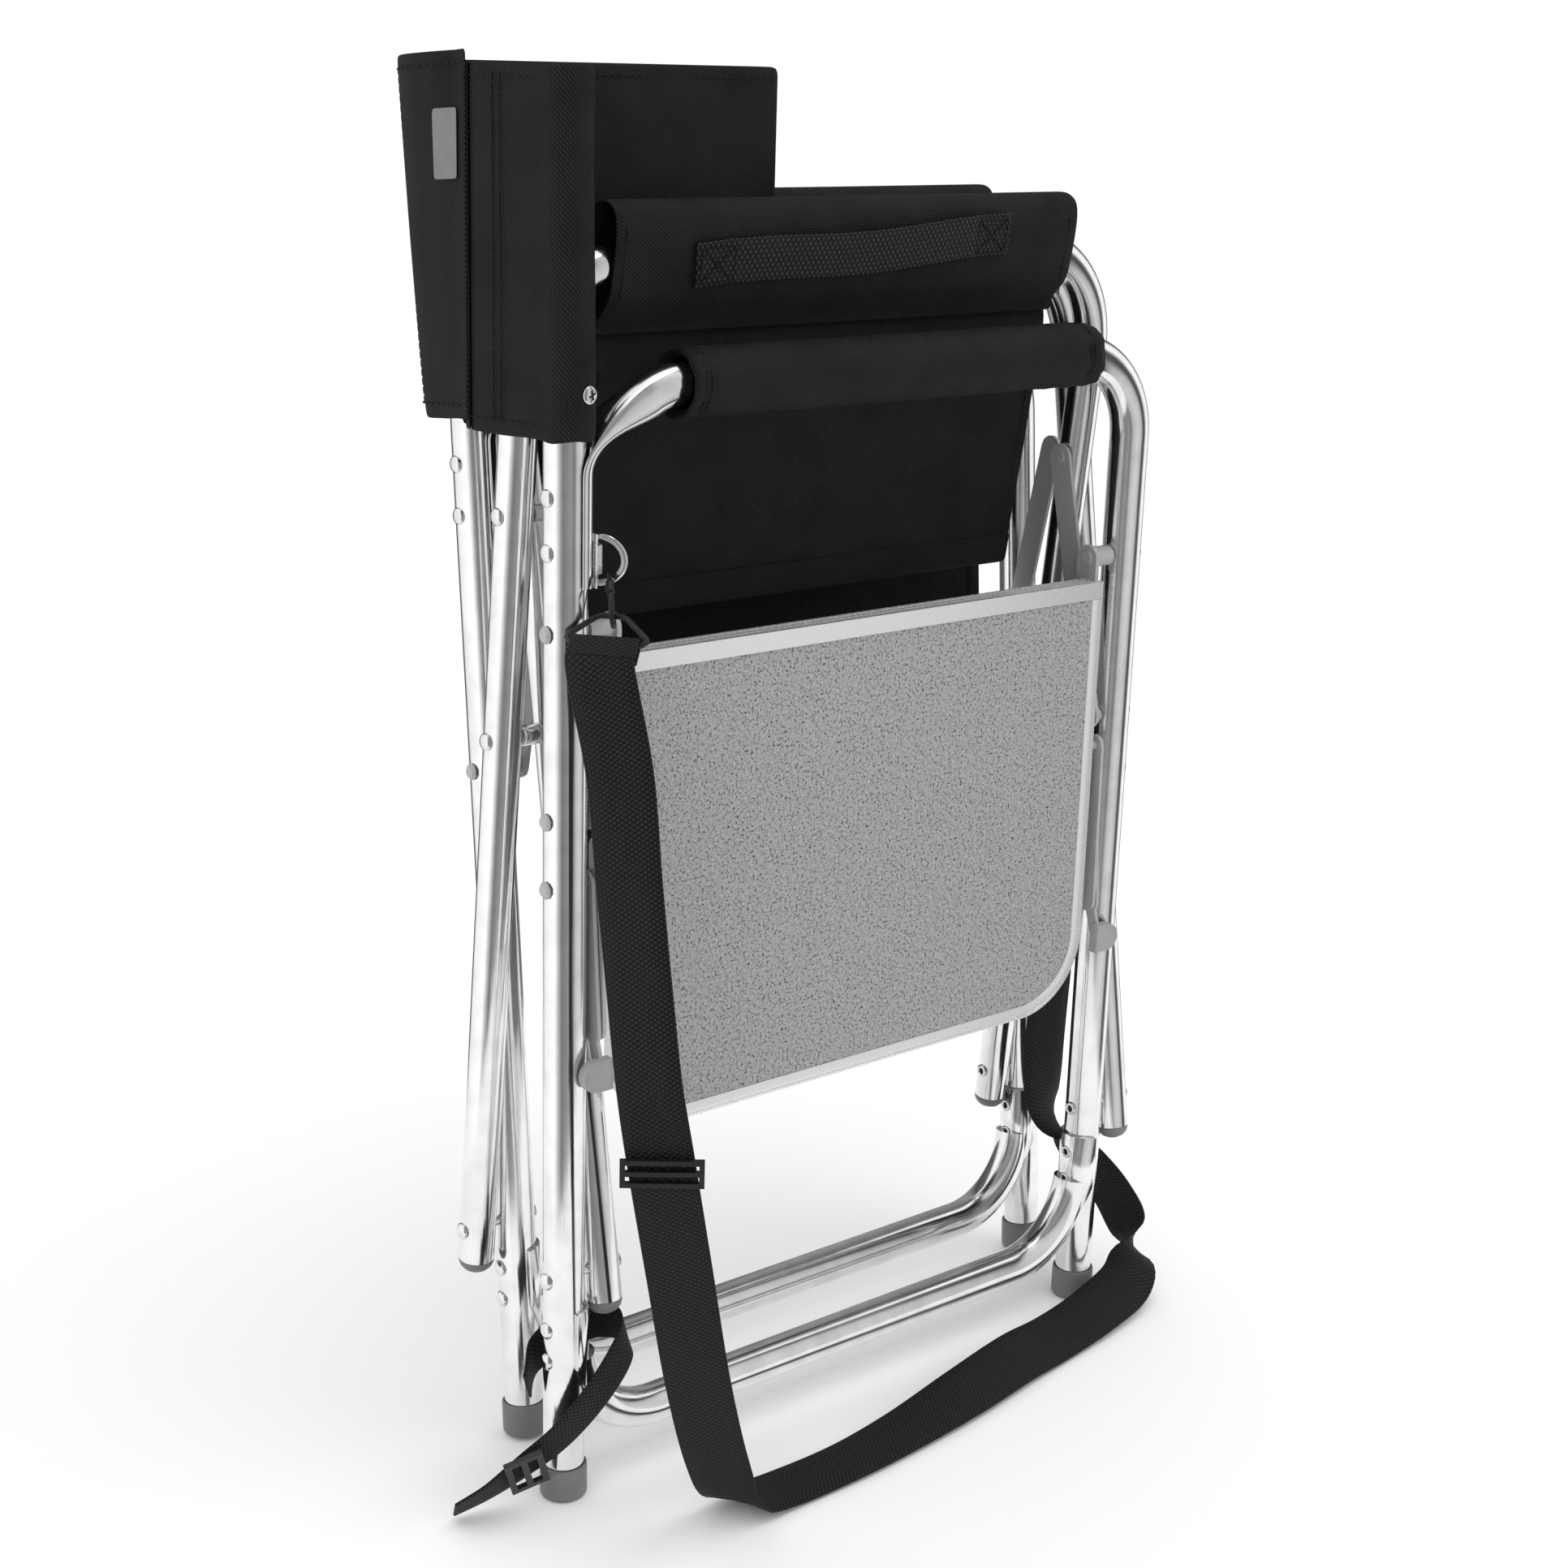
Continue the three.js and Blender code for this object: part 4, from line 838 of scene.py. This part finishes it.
# Rounded corner that joins the near sleeve to its panel and bends with the seam.
seam_rows = []
for x, y in ease([(49.5, 246.2), (53.2, 246.0), (54.5, 244.6), (54.9, 241.5), (55.5, 236), (56.0, 229)], 4):
    seam_rows.append([at(x, y, z) for z in np.linspace(642.5, 835.6, 27)])
seam = cloth_grid("back_near_corner", seam_rows, 0.0012, MAT["black_cloth"])
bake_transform(seam)

far_line = loop_line([(-8, 241), (-18, 252), (-32, 262.5), (-44, 267), (-56, 267.2), (-66, 267), (-76, 266.6),
                      (-86, 266.4)])
back_sheet("back_far_wrap", "back_far_sleeve", "back_far_side", far_line, BACK_HIGH, 41, 0.9, far_place)


# Double stitching down the sleeves' seams, and hems along the lower and upper edges.
def stitches(name, body, lines, outward, place=at):
    t = Builder()
    for line in lines:
        stitch_line(t, [place(*p) for p in line], Vector(outward))
    t.piece(name, "thread", body, slot="webbing")


def upright(spots):
    return [[(x, y, z) for z in np.linspace(648, 831, 50)] for x, y in spots]


def level(line, heights=(650, 828)):
    return [[(x, y, z) for x, y in ease(line, 10)] for z in heights]


stitches("back_near_seam_stitching", "back_near_side", upright([(27, 241.3), (32, 242.6)]), (-0.25, 0.97, 0))
stitches("back_near_hem_stitching", "back_near_side",
         level([(3, 233.3), (14, 237.2), (30, 241.8), (44, 245.7), (52, 244.8)]), (-0.2, 0.97, 0))
stitches("back_far_seam_stitching", "back_far_side", upright([(-22, 257.2), (-26, 260.0)]), (-0.5, 0.85, 0),
         far_place)
stitches("back_far_hem_stitching", "back_far_side",
         level([(-9, 243.2), (-19, 254), (-32, 264), (-44, 268.2), (-56, 268.4), (-66, 268.2), (-84, 267.6)]),
         (-0.4, 0.9, 0), far_place)
stitches("back_sheet_hem_stitching", "back_near",
         level([(54.4, 240), (56.4, 190), (57.6, 135), (58.8, 80), (59.5, 33)], (650, 829)), (-1, 0, 0))


# Plain woven label on the far sleeve.
def label():
    rows = [[far_place(x, 268.3, z) for z in np.linspace(769, 806, 9)] for x in np.linspace(-62.5, -80, 7)]
    finish_piece(cloth_grid("blank_label", rows, 0.0006, MAT["label"]), "back_far_side")


label()


# ---- Armrest rolls --------------------------------------------------------------------
def arm_drop(y):
    """How far the armrest tube's bends fall below its straight stretch."""
    for r, past in ((55, -162 - y), (60, y - 136.5)):
        if past > 0:
            return math.sqrt(max(r ** 2 - past ** 2, 0)) - r
    return 0.0


def arm_roll(m, name, node, body, seed):
    steps, sides, mouth = 60, 40, 14.5
    y_front, y_rear = -172, 146
    angles = [2 * math.pi * k / sides for k in range(sides)]
    rows, uvs = [], []
    for i in range(steps + 1):
        t = i / steps
        y = y_front + (y_rear - y_front) * t
        end = min(t, 1 - t) * (y_rear - y_front)
        r0 = 19.4 - 1.4 * math.exp(-((end - 9) / 2.4) ** 2) - 0.8 * math.exp(-(end / 3) ** 2)
        row = []
        for a in angles:
            pucker = noise.noise(Vector((math.cos(a) * 2.4, y * 0.11, math.sin(a) * 2.4 + seed)))
            r = r0 + pucker * (0.5 + 1.3 * math.exp(-end / 14)) + 0.9 * max(0, -math.sin(a)) ** 3
            row.append(spot(m, r * math.cos(a), y, ARM_Z + arm_drop(y) + r * math.sin(a)))
        rows.append(row)
        uvs.append([(a * 0.0195, y / 1000) for a in angles])
    ends = []
    for edge, y, depth in ((0, y_front, 5), (-1, y_rear, -5)):
        z = ARM_Z + (rows[edge][0].z - spot(m, 19, y, ARM_Z).z) * 1000
        inner = [spot(m, mouth * math.cos(a), y + depth, z + mouth * math.sin(a)) for a in angles]
        ends.append([inner, [p.lerp(q, 0.35) for p, q in zip(rows[edge], inner)]])
    b = Builder()
    b.grid(ends[0] + rows + ends[1][::-1], [uvs[0]] * 2 + uvs + [uvs[-1]] * 2, True, False)
    obj = b.piece(name, "black_cloth", body, [node])
    t = Builder()
    r, count = 18.6, 26
    for y in (y_front + 9, y_front + 12.5, y_rear - 9, y_rear - 12.5):
        for k in range(count):
            a, c = 2 * math.pi * k / count, 2 * math.pi * (k + 0.66) / count
            out = (m.to_3x3() @ Vector((math.cos((a + c) / 2), 0, math.sin((a + c) / 2)))).normalized()
            z = ARM_Z + arm_drop(y)
            p, q, s = (spot(m, r * math.cos(f), y, z + r * math.sin(f)) for f in (a, (a + c) / 2, c))
            path = [p - out * 0.0003, p + out * 0.0002, q + out * 0.0003, s + out * 0.0002, s - out * 0.0003]
            t.sweep(path, ring_section(THREAD_R, 6), Y, False)
    t.piece(name + "_stitching", "thread", body, slot="webbing")


arm_roll(NEAR, "near_arm_roll", "near_arm_pad", "near_frame", 1)
arm_roll(FAR, "far_arm_roll", "far_arm_pad", "far_frame", 9)


# ---- Organiser under the far armrest ----------------------------------------------------
def organiser():
    def sheet_rows(x, y0, y1, z0, z1, bulge, seed, ny=40, nz=40):
        rows = []
        for i in range(nz + 1):
            row = []
            for j in range(ny + 1):
                s, t = j / ny, i / nz
                puff = bulge * math.sin(math.pi * s) ** 0.7 * (1 - (1 - t) ** 3 * 0.9) if bulge else 0
                point = spot(FAR, x + puff, y0 + (y1 - y0) * s, z0 + (z1 - z0) * t)
                point.x += crease(point, (10, 14, 9), seed) * 0.8 / 1000
                row.append(point)
            rows.append(row)
        return rows

    y_front, y_rear, low, high = -174, 147, 253, 653
    gap, bulge = 1.8, 5.0  # a pocket's distance from the panel, and how far its mouth stands out
    rows = sheet_rows(0, y_front, y_rear, low, high, 0, 2)
    back = cloth_grid("organiser_back", rows, 0.0016, MAT["black_cloth"])
    finish_piece(back, "far_frame", ["organiser_panel"])
    t = Builder()
    out = (FAR.to_3x3() @ Vector((1, 0, 0))).normalized()
    for k, (y0, y1, z0, z1) in enumerate([(-172, -64, 258, 420), (-62, 40, 258, 380), (42, 145, 258, 440),
                                          (-172, 145, 470, 600)]):
        rows = sheet_rows(gap, y0, y1, z0, z1, bulge, 20 + k, 22, 18)
        pocket = cloth_grid(f"organiser_pocket_{k + 1}", rows, 0.0014, MAT["black_cloth"])
        finish_piece(pocket, "far_frame")
        top = [spot(FAR, gap + bulge * math.sin(math.pi * s) ** 0.7, y0 + (y1 - y0) * s, z1 - 3)
               for s in np.linspace(0, 1, 24)]
        lip = [(0.006, 0.0011), (-0.006, 0.0011), (-0.006, -0.0011), (0.006, -0.0011)]
        b = Builder().sweep(top, lip, Vector((0, 0, 1)))
        b.piece(f"organiser_binding_{k + 1}", "webbing", "far_frame")
        edge = [spot(FAR, 2.9, y0 + 2, z) for z in np.linspace(z1 - 4, z0, 30)]
        edge += [spot(FAR, 2.9, y, z0 + 2) for y in np.linspace(y0, y1, 30)]
        edge += [spot(FAR, 2.9, y1 - 2, z) for z in np.linspace(z0, z1 - 4, 30)]
        stitch_line(t, edge, out)
    rim = Builder()
    tape = [(0.0016, 0.005), (0.0016, -0.005), (-0.0016, -0.005), (-0.0016, 0.005)]
    for y in (y_front, y_rear):
        rim.sweep([spot(FAR, 0, y, z) for z in (low, 450, high - 5)], tape, out)
    rim.sweep([spot(FAR, 0, y, low + 3) for y in (y_front - 3, 0, y_rear + 3)], tape, out)
    rim.piece("organiser_edge_binding", "webbing", "far_frame")
    t.piece("organiser_stitching", "thread", "far_frame", slot="webbing")


organiser()


# ---- Table rim --------------------------------------------------------------------------
def table_rim():
    x, side, corner, turn_y, turn_z = -5.75, 185.75, 47.75, 138, 283
    down, up = [(-side, 510.6), (-side, 400)], [(side, 400), (side, 510.6)]
    bends = arc_points(-turn_y, turn_z, corner, 180, 270) + arc_points(turn_y, turn_z, corner, 270, 360)
    # Across the rim's thickness, then into or out of the board.
    section = [(-6.25, 4.25), (-6.25, 2.9), (-5.6, 2.3), (-5.6, -3.2), (-5.2, -3.9), (-4.6, -4.25),
               (5.4, -4.25), (6.25, -3.6), (6.25, 2.6), (5.6, 3.4), (5.0, 4.25)]
    section = [(a / 1000, c / 1000) for a, c in section]
    b = Builder().sweep([at(x, y, z) for y, z in down + bends + up], section, Vector((1, 0, 0)))
    auto_smooth(b.piece("table_edge", "satin_aluminium", "table", ["table_rim"]), 35)


table_rim()

# Rounded plastic thumb pads at the ends of the lower brace bars.
PAD_Z, PAD_R, PAD_MID = 277, 9.5, 205
for side, end in ((1, "rear"), (-1, "front")):
    outline = [(197.0, PAD_Z - PAD_R)] + arc_points(207.5, PAD_Z, PAD_R, -90, 90, 14) + [(197.0, PAD_Z + PAD_R)]
    rows = []
    for x, shrink in ((-20.2, 0.86), (-20.8, 0.94), (-20.4, 0.99), (-19.6, 1.0), (-14.6, 1.0), (-13.8, 0.98),
                      (-13.4, 0.92)):
        rows.append([at(x, side * (PAD_MID + (y - PAD_MID) * shrink), PAD_Z + (z - PAD_Z) * shrink)
                     for y, z in outline])
    b = Builder().grid(rows, [[(y / 1000, z / 1000) for y, z in outline]] * len(rows))
    pad = b.make(f"{end}_thumb_pad", MAT["pad_grey"])
    auto_smooth(pad, 40)
    finish_piece(pad, "brace_leg_bars")

# ---- Ring, hook, loop -------------------------------------------------------------------
RING_Z = 575
SADDLE_FACE = LEG_Y - TUBE_R - 0.3 - 1.6 - 0.3
RING_Y = SADDLE_FACE - 4.4
ACROSS = Vector((0.75, 0.66, 0)).normalized()
RING_WAY = Vector((-0.8, -0.6, 0))
HOOK_DOWN = Vector((-0.67, 0.41, -0.62)).normalized()
LOOP_DOWN = (HOOK_DOWN - ACROSS * HOOK_DOWN.dot(ACROSS)).normalized()
HOOK_ACROSS = Vector((0.7, 0.71, 0)).cross(HOOK_DOWN).normalized()
hook_centre = at(0, RING_Y, RING_Z - 11.5) + RING_WAY * 0.009 + HOOK_DOWN * 0.0137
loop_centre = hook_centre + HOOK_DOWN * 0.0112 + LOOP_DOWN * 0.0115
strap_start = loop_centre + LOOP_DOWN * 0.0093
strap_next = strap_start + LOOP_DOWN * 0.014


def wire(name, points, r, material, node, side):
    return Builder().sweep(points, ring_section(r, 16), side).piece(name, material, "near_frame", [node])


def flat_loop(half, centre, across, down):
    """A bent wire's line: half of it, then its mirror image back to the gap."""
    outline = half + [(-a, c) for a, c in half[::-1] if a]
    return [centre + across * (a / 1000) + down * (c / 1000) for a, c in outline]


ring = [at(0, RING_Y, RING_Z + 0.3), at(0, RING_Y, RING_Z + 11)]
for i in range(21):
    a = i * math.pi / 20
    ring.append(at(0, RING_Y, RING_Z + 13 * math.cos(a)) + RING_WAY * ((2 + 15 * math.sin(a)) / 1000))
ring += [at(0, RING_Y, RING_Z - 11), at(0, RING_Y, RING_Z - 0.3)]
ring_wire = wire("d_ring_wire", ring, 2.0, "steel", "d_ring", Vector((0.6, -0.8, 0)))
loop_half = [(0.3, 7), (20, 7), (22, 5), (22, 3), (9, -10), (6, -11.5)]
loop_wire = wire("strap_loop_wire", flat_loop(loop_half, loop_centre, ACROSS, LOOP_DOWN), 1.7, "black_wire",
                 "strap_wire_loop", ACROSS.cross(LOOP_DOWN))
hook_half = [(0.3, 15), (4, 15), (6.4, 11), (5.8, -13), (3.6, -17.2), (0, -18.6)]
hook_wire = wire("snap_hook_wire", flat_loop(hook_half, hook_centre, HOOK_ACROSS, HOOK_DOWN), 1.5, "black_wire",
                 "snap_hook", HOOK_ACROSS.cross(HOOK_DOWN))
collar = axis_matrix(hook_centre - HOOK_DOWN * 0.004 + HOOK_ACROSS * 0.006, HOOK_DOWN)
b = Builder().turn(collar, [(0, -4), (2.3, -4), (2.5, -3), (2.5, 3), (2.3, 4), (0, 4)], 16)
hook_collar = b.piece("snap_hook_collar", "black_wire", "near_frame")


# ---- Straps ---------------------------------------------------------------------------
def strap(name, node, rows, width, thick, per=8):
    """rows are (place, direction across the webbing)."""
    fine = ease([list(p) + list(Vector(d).normalized()) for p, d in rows], per)
    centre = [Vector(f[:3]) for f in fine]
    side = [Vector(f[3:]).normalized() for f in fine]
    w, t = width / 2000, thick / 2000
    # One face from edge to edge, mirrored for the other.
    face = [(w, t * 0.3), (w - 0.0006, t), (w * 0.5, t), (0, t), (-w * 0.5, t), (-w + 0.0006, t), (-w, t * 0.3)]
    section = face + [(a, -c) for a, c in reversed(face)]
    obj = Builder().sweep(centre, section, side).make(name, MAT["webbing"])
    auto_smooth(obj, 50)
    return finish_piece(obj, "near_frame", [node] if node else ()), centre


ROUTE = [
    (strap_start, (0.75, 0.66, 0)), (strap_next, (0.75, 0.66, 0)),
    (at(-57, 220, 470), (0.78, 0.63, 0)), (at(-70, 222, 410), (0.8, 0.6, 0)),
    (at(-81, 222, 350), (0.8, 0.6, 0)), (at(-90, 221.5, 300), (0.76, 0.65, 0)),
    (at(-93, 214, 249), (0.6, 0.8, 0)), (at(-92, 200, 180), (0.57, 0.82, 0)),
    (at(-90, 184, 105), (0.6, 0.8, 0)), (at(-87, 166, 44), (0.66, 0.75, 0)),
    (at(-84, 149, 12), (0.8, 0.6, 0.04)), (at(-81, 116, 3.4), (0.97, 0.24, 0.03)),
    (at(-80, 60, 2.6), (1, 0.02, 0)), (at(-76, 8, 4.4), (0.99, -0.12, 0.1)),
    (at(-70, -48, 9), (0.93, -0.2, 0.3)), (at(-60, -105, 11), (0.9, -0.22, 0.37)),
    (at(-52, -150, 9), (0.92, -0.18, 0.32)), (at(-45, -195, 12), (0.9, -0.2, 0.4)),
    (at(-36, -236, 20), (0.72, -0.3, 0.6)), (at(-20, -254, 40), (0.4, -0.2, 0.9)),
    (at(0, -256, 62), (-0.1, 0, 1)), (at(20, -248, 84), (-0.35, 0.2, 0.9)),
    (at(30, -232, 106), (-0.4, 0.6, 0.7)), (at(35, -215, 132), (-0.2, 0.95, 0.25)),
    (at(36, -211, 165), (0, 1, 0.08)), (at(34, -211, 220), (0, 1, 0.05)),
    (at(28, -210, 300), (0, 1, 0)), (at(21, -211, 371), (0, 1, 0)),
]
shoulder, shoulder_line = strap("shoulder_strap_webbing", "shoulder_strap", ROUTE, 38, 2.0)

# The strap's end, turned back round the wire loop's bar.
bar = loop_centre + LOOP_DOWN * 0.007
out_dir = ACROSS.cross(LOOP_DOWN).normalized() * 0.0031
fold = [bar + LOOP_DOWN * (0.005 + 0.006 * s) + out_dir for s in (1, 0.5, 0)]
fold += [bar + LOOP_DOWN * 0.0031 * math.cos(a) + out_dir * math.sin(a)
         for a in np.linspace(1.4, 2 * math.pi - 1.4, 9)]
fold += [bar + LOOP_DOWN * (0.005 + 0.006 * s) - out_dir for s in (0, 0.5, 1)]
end_fold, _ = strap("shoulder_strap_end", None, [(p, ACROSS) for p in fold], 37.6, 1.6, 3)

TIE = [
    (at(6, 239, 76), (0, 0.1, 1)), (at(18.5, 226, 86), (0.05, 0, 1)), (at(20, 206, 94), (0.1, 0, 1)),
    (at(15, 186, 99), (0, 0.1, 1)), (at(0, 176, 100), (0, 0.2, 1)), (at(-15, 183, 95), (0, 0.35, 0.93)),
    (at(-21, 204, 76), (-0.1, 0.55, 0.83)), (at(-17, 228, 52), (-0.2, 0.55, 0.8)),
    (at(-6, 249, 32), (-0.35, 0.4, 0.85)), (at(2, 268, 18), (-0.5, 0.35, 0.78)),
    (at(6, 290, 11), (-0.62, 0.2, 0.75)),
]
tie, tie_line = strap("tie_strap_webbing", "tie_strap", TIE, 25, 1.6)

round(length_of(shoulder_line), 3)
[tuple(p) for p in shoulder_line]
tuple(tie_line[0])
round(length_of(tie_line), 3)
[tuple(p) for p in tie_line]

# ---- Floor, light, camera ---------------------------------------------------------------
floor_mat = base_material("floor", (0.95, 0.95, 0.95), 0.2, Specular_IOR_Level=0.0)
floor_noise = noise_tex(floor_mat, coords(floor_mat, "Object"), 3, 2)
wire_to(floor_mat, "Roughness", ramp(floor_mat, floor_noise, [(0.3, 0.17), (0.7, 0.24)]))
corners = [(x, y, -0.0005) for x, y in ((-14, -14), (14, -14), (14, 14), (-14, 14))]
floor = mesh_object("floor", corners, [(0, 1, 2, 3)], floor_mat, smooth=False)

world = bpy.data.worlds.new("studio")
bpy.context.scene.world = world
world.use_nodes = True
world.node_tree.nodes["Background"].inputs["Color"].default_value = (1, 1, 1, 1)
world.node_tree.nodes["Background"].inputs["Strength"].default_value = 1.06


def area(name, place, target, size, power):
    light = bpy.data.lights.new(name, "AREA")
    light.energy = power
    light.size = size
    obj = bpy.data.objects.new(name, light)
    obj.location = place
    obj.rotation_euler = (Vector(target) - Vector(place)).to_track_quat("-Z", "Y").to_euler()
    bpy.context.scene.collection.objects.link(obj)


area("key", (-0.9, -0.6, 3.2), (0, 0, 0.2), 1.6, 14)


def surround():
    """Studio wall seen only in reflections: soft light and dark bands that the polished tubes pick up."""
    wall = bpy.data.materials.new("studio_wall")
    wall.use_nodes = True
    tree = wall.node_tree
    nodes, links = tree.nodes, tree.links
    nodes.clear()
    out = nodes.new("ShaderNodeOutputMaterial")
    glow = nodes.new("ShaderNodeEmission")
    band = nodes.new("ShaderNodeValToRGB")
    split = nodes.new("ShaderNodeSeparateXYZ")
    place = nodes.new("ShaderNodeTexCoord")
    stops = [(0, 0.12), (24, 0.10), (38, 0.95), (98, 1.2), (112, 0.5), (122, 0.2), (150, 0.32), (168, 0.2),
             (180, 0.55), (205, 0.7), (224, 0.55), (232, 0.06), (241, 0.08), (250, 1.1), (268, 1.0), (278, 0.12),
             (320, 0.3), (340, 0.06), (359, 0.12)]  # (azimuth in degrees, brightness)
    fill_ramp(band, [(azimuth / 360, grey) for azimuth, grey in stops])
    links.new(place.outputs["UV"], split.inputs[0])
    links.new(split.outputs[0], band.inputs["Fac"])
    links.new(band.outputs["Color"], glow.inputs["Color"])
    links.new(glow.outputs[0], out.inputs["Surface"])
    steps, radius = 180, 0.62
    verts, uvs, faces = [], [], []
    for k in range(steps + 1):
        a = 2 * math.pi * k / steps
        for z in (0.002, 2.4):
            verts.append(Vector((radius * math.cos(a), radius * math.sin(a), z)))
            uvs.append((k / steps, z))
    for k in range(steps):
        faces.append((2 * k, 2 * k + 2, 2 * k + 3, 2 * k + 1))
    obj = mesh_object("studio_wall", verts, faces, wall, uvs)
    obj.visible_camera = obj.visible_diffuse = obj.visible_shadow = obj.visible_transmission = False


surround()


def calibrated_camera():
    yaw, pitch, roll = (math.radians(v) for v in (128.94, 16.61, 1.67))
    d = Vector((math.sin(yaw) * math.cos(pitch), math.cos(yaw) * math.cos(pitch), -math.sin(pitch)))
    r = Vector((math.cos(yaw), -math.sin(yaw), 0))
    u = r.cross(d)
    r2 = r * math.cos(roll) + u * math.sin(roll)
    u2 = u * math.cos(roll) - r * math.sin(roll)
    camera = bpy.data.objects.new("camera", bpy.data.cameras.new("camera"))
    camera.data.sensor_width = 36
    camera.data.lens = 56.6646
    camera.data.clip_start = 0.05
    turn = Matrix((r2, u2, -d)).transposed()
    camera.matrix_world = Matrix.Translation(at(-1101, 950, 846)) @ turn.to_4x4()
    bpy.context.scene.collection.objects.link(camera)
    bpy.context.scene.camera = camera


calibrated_camera()
bpy.context.scene.view_settings.view_transform = "Standard"
bpy.context.scene.view_settings.look = "None"
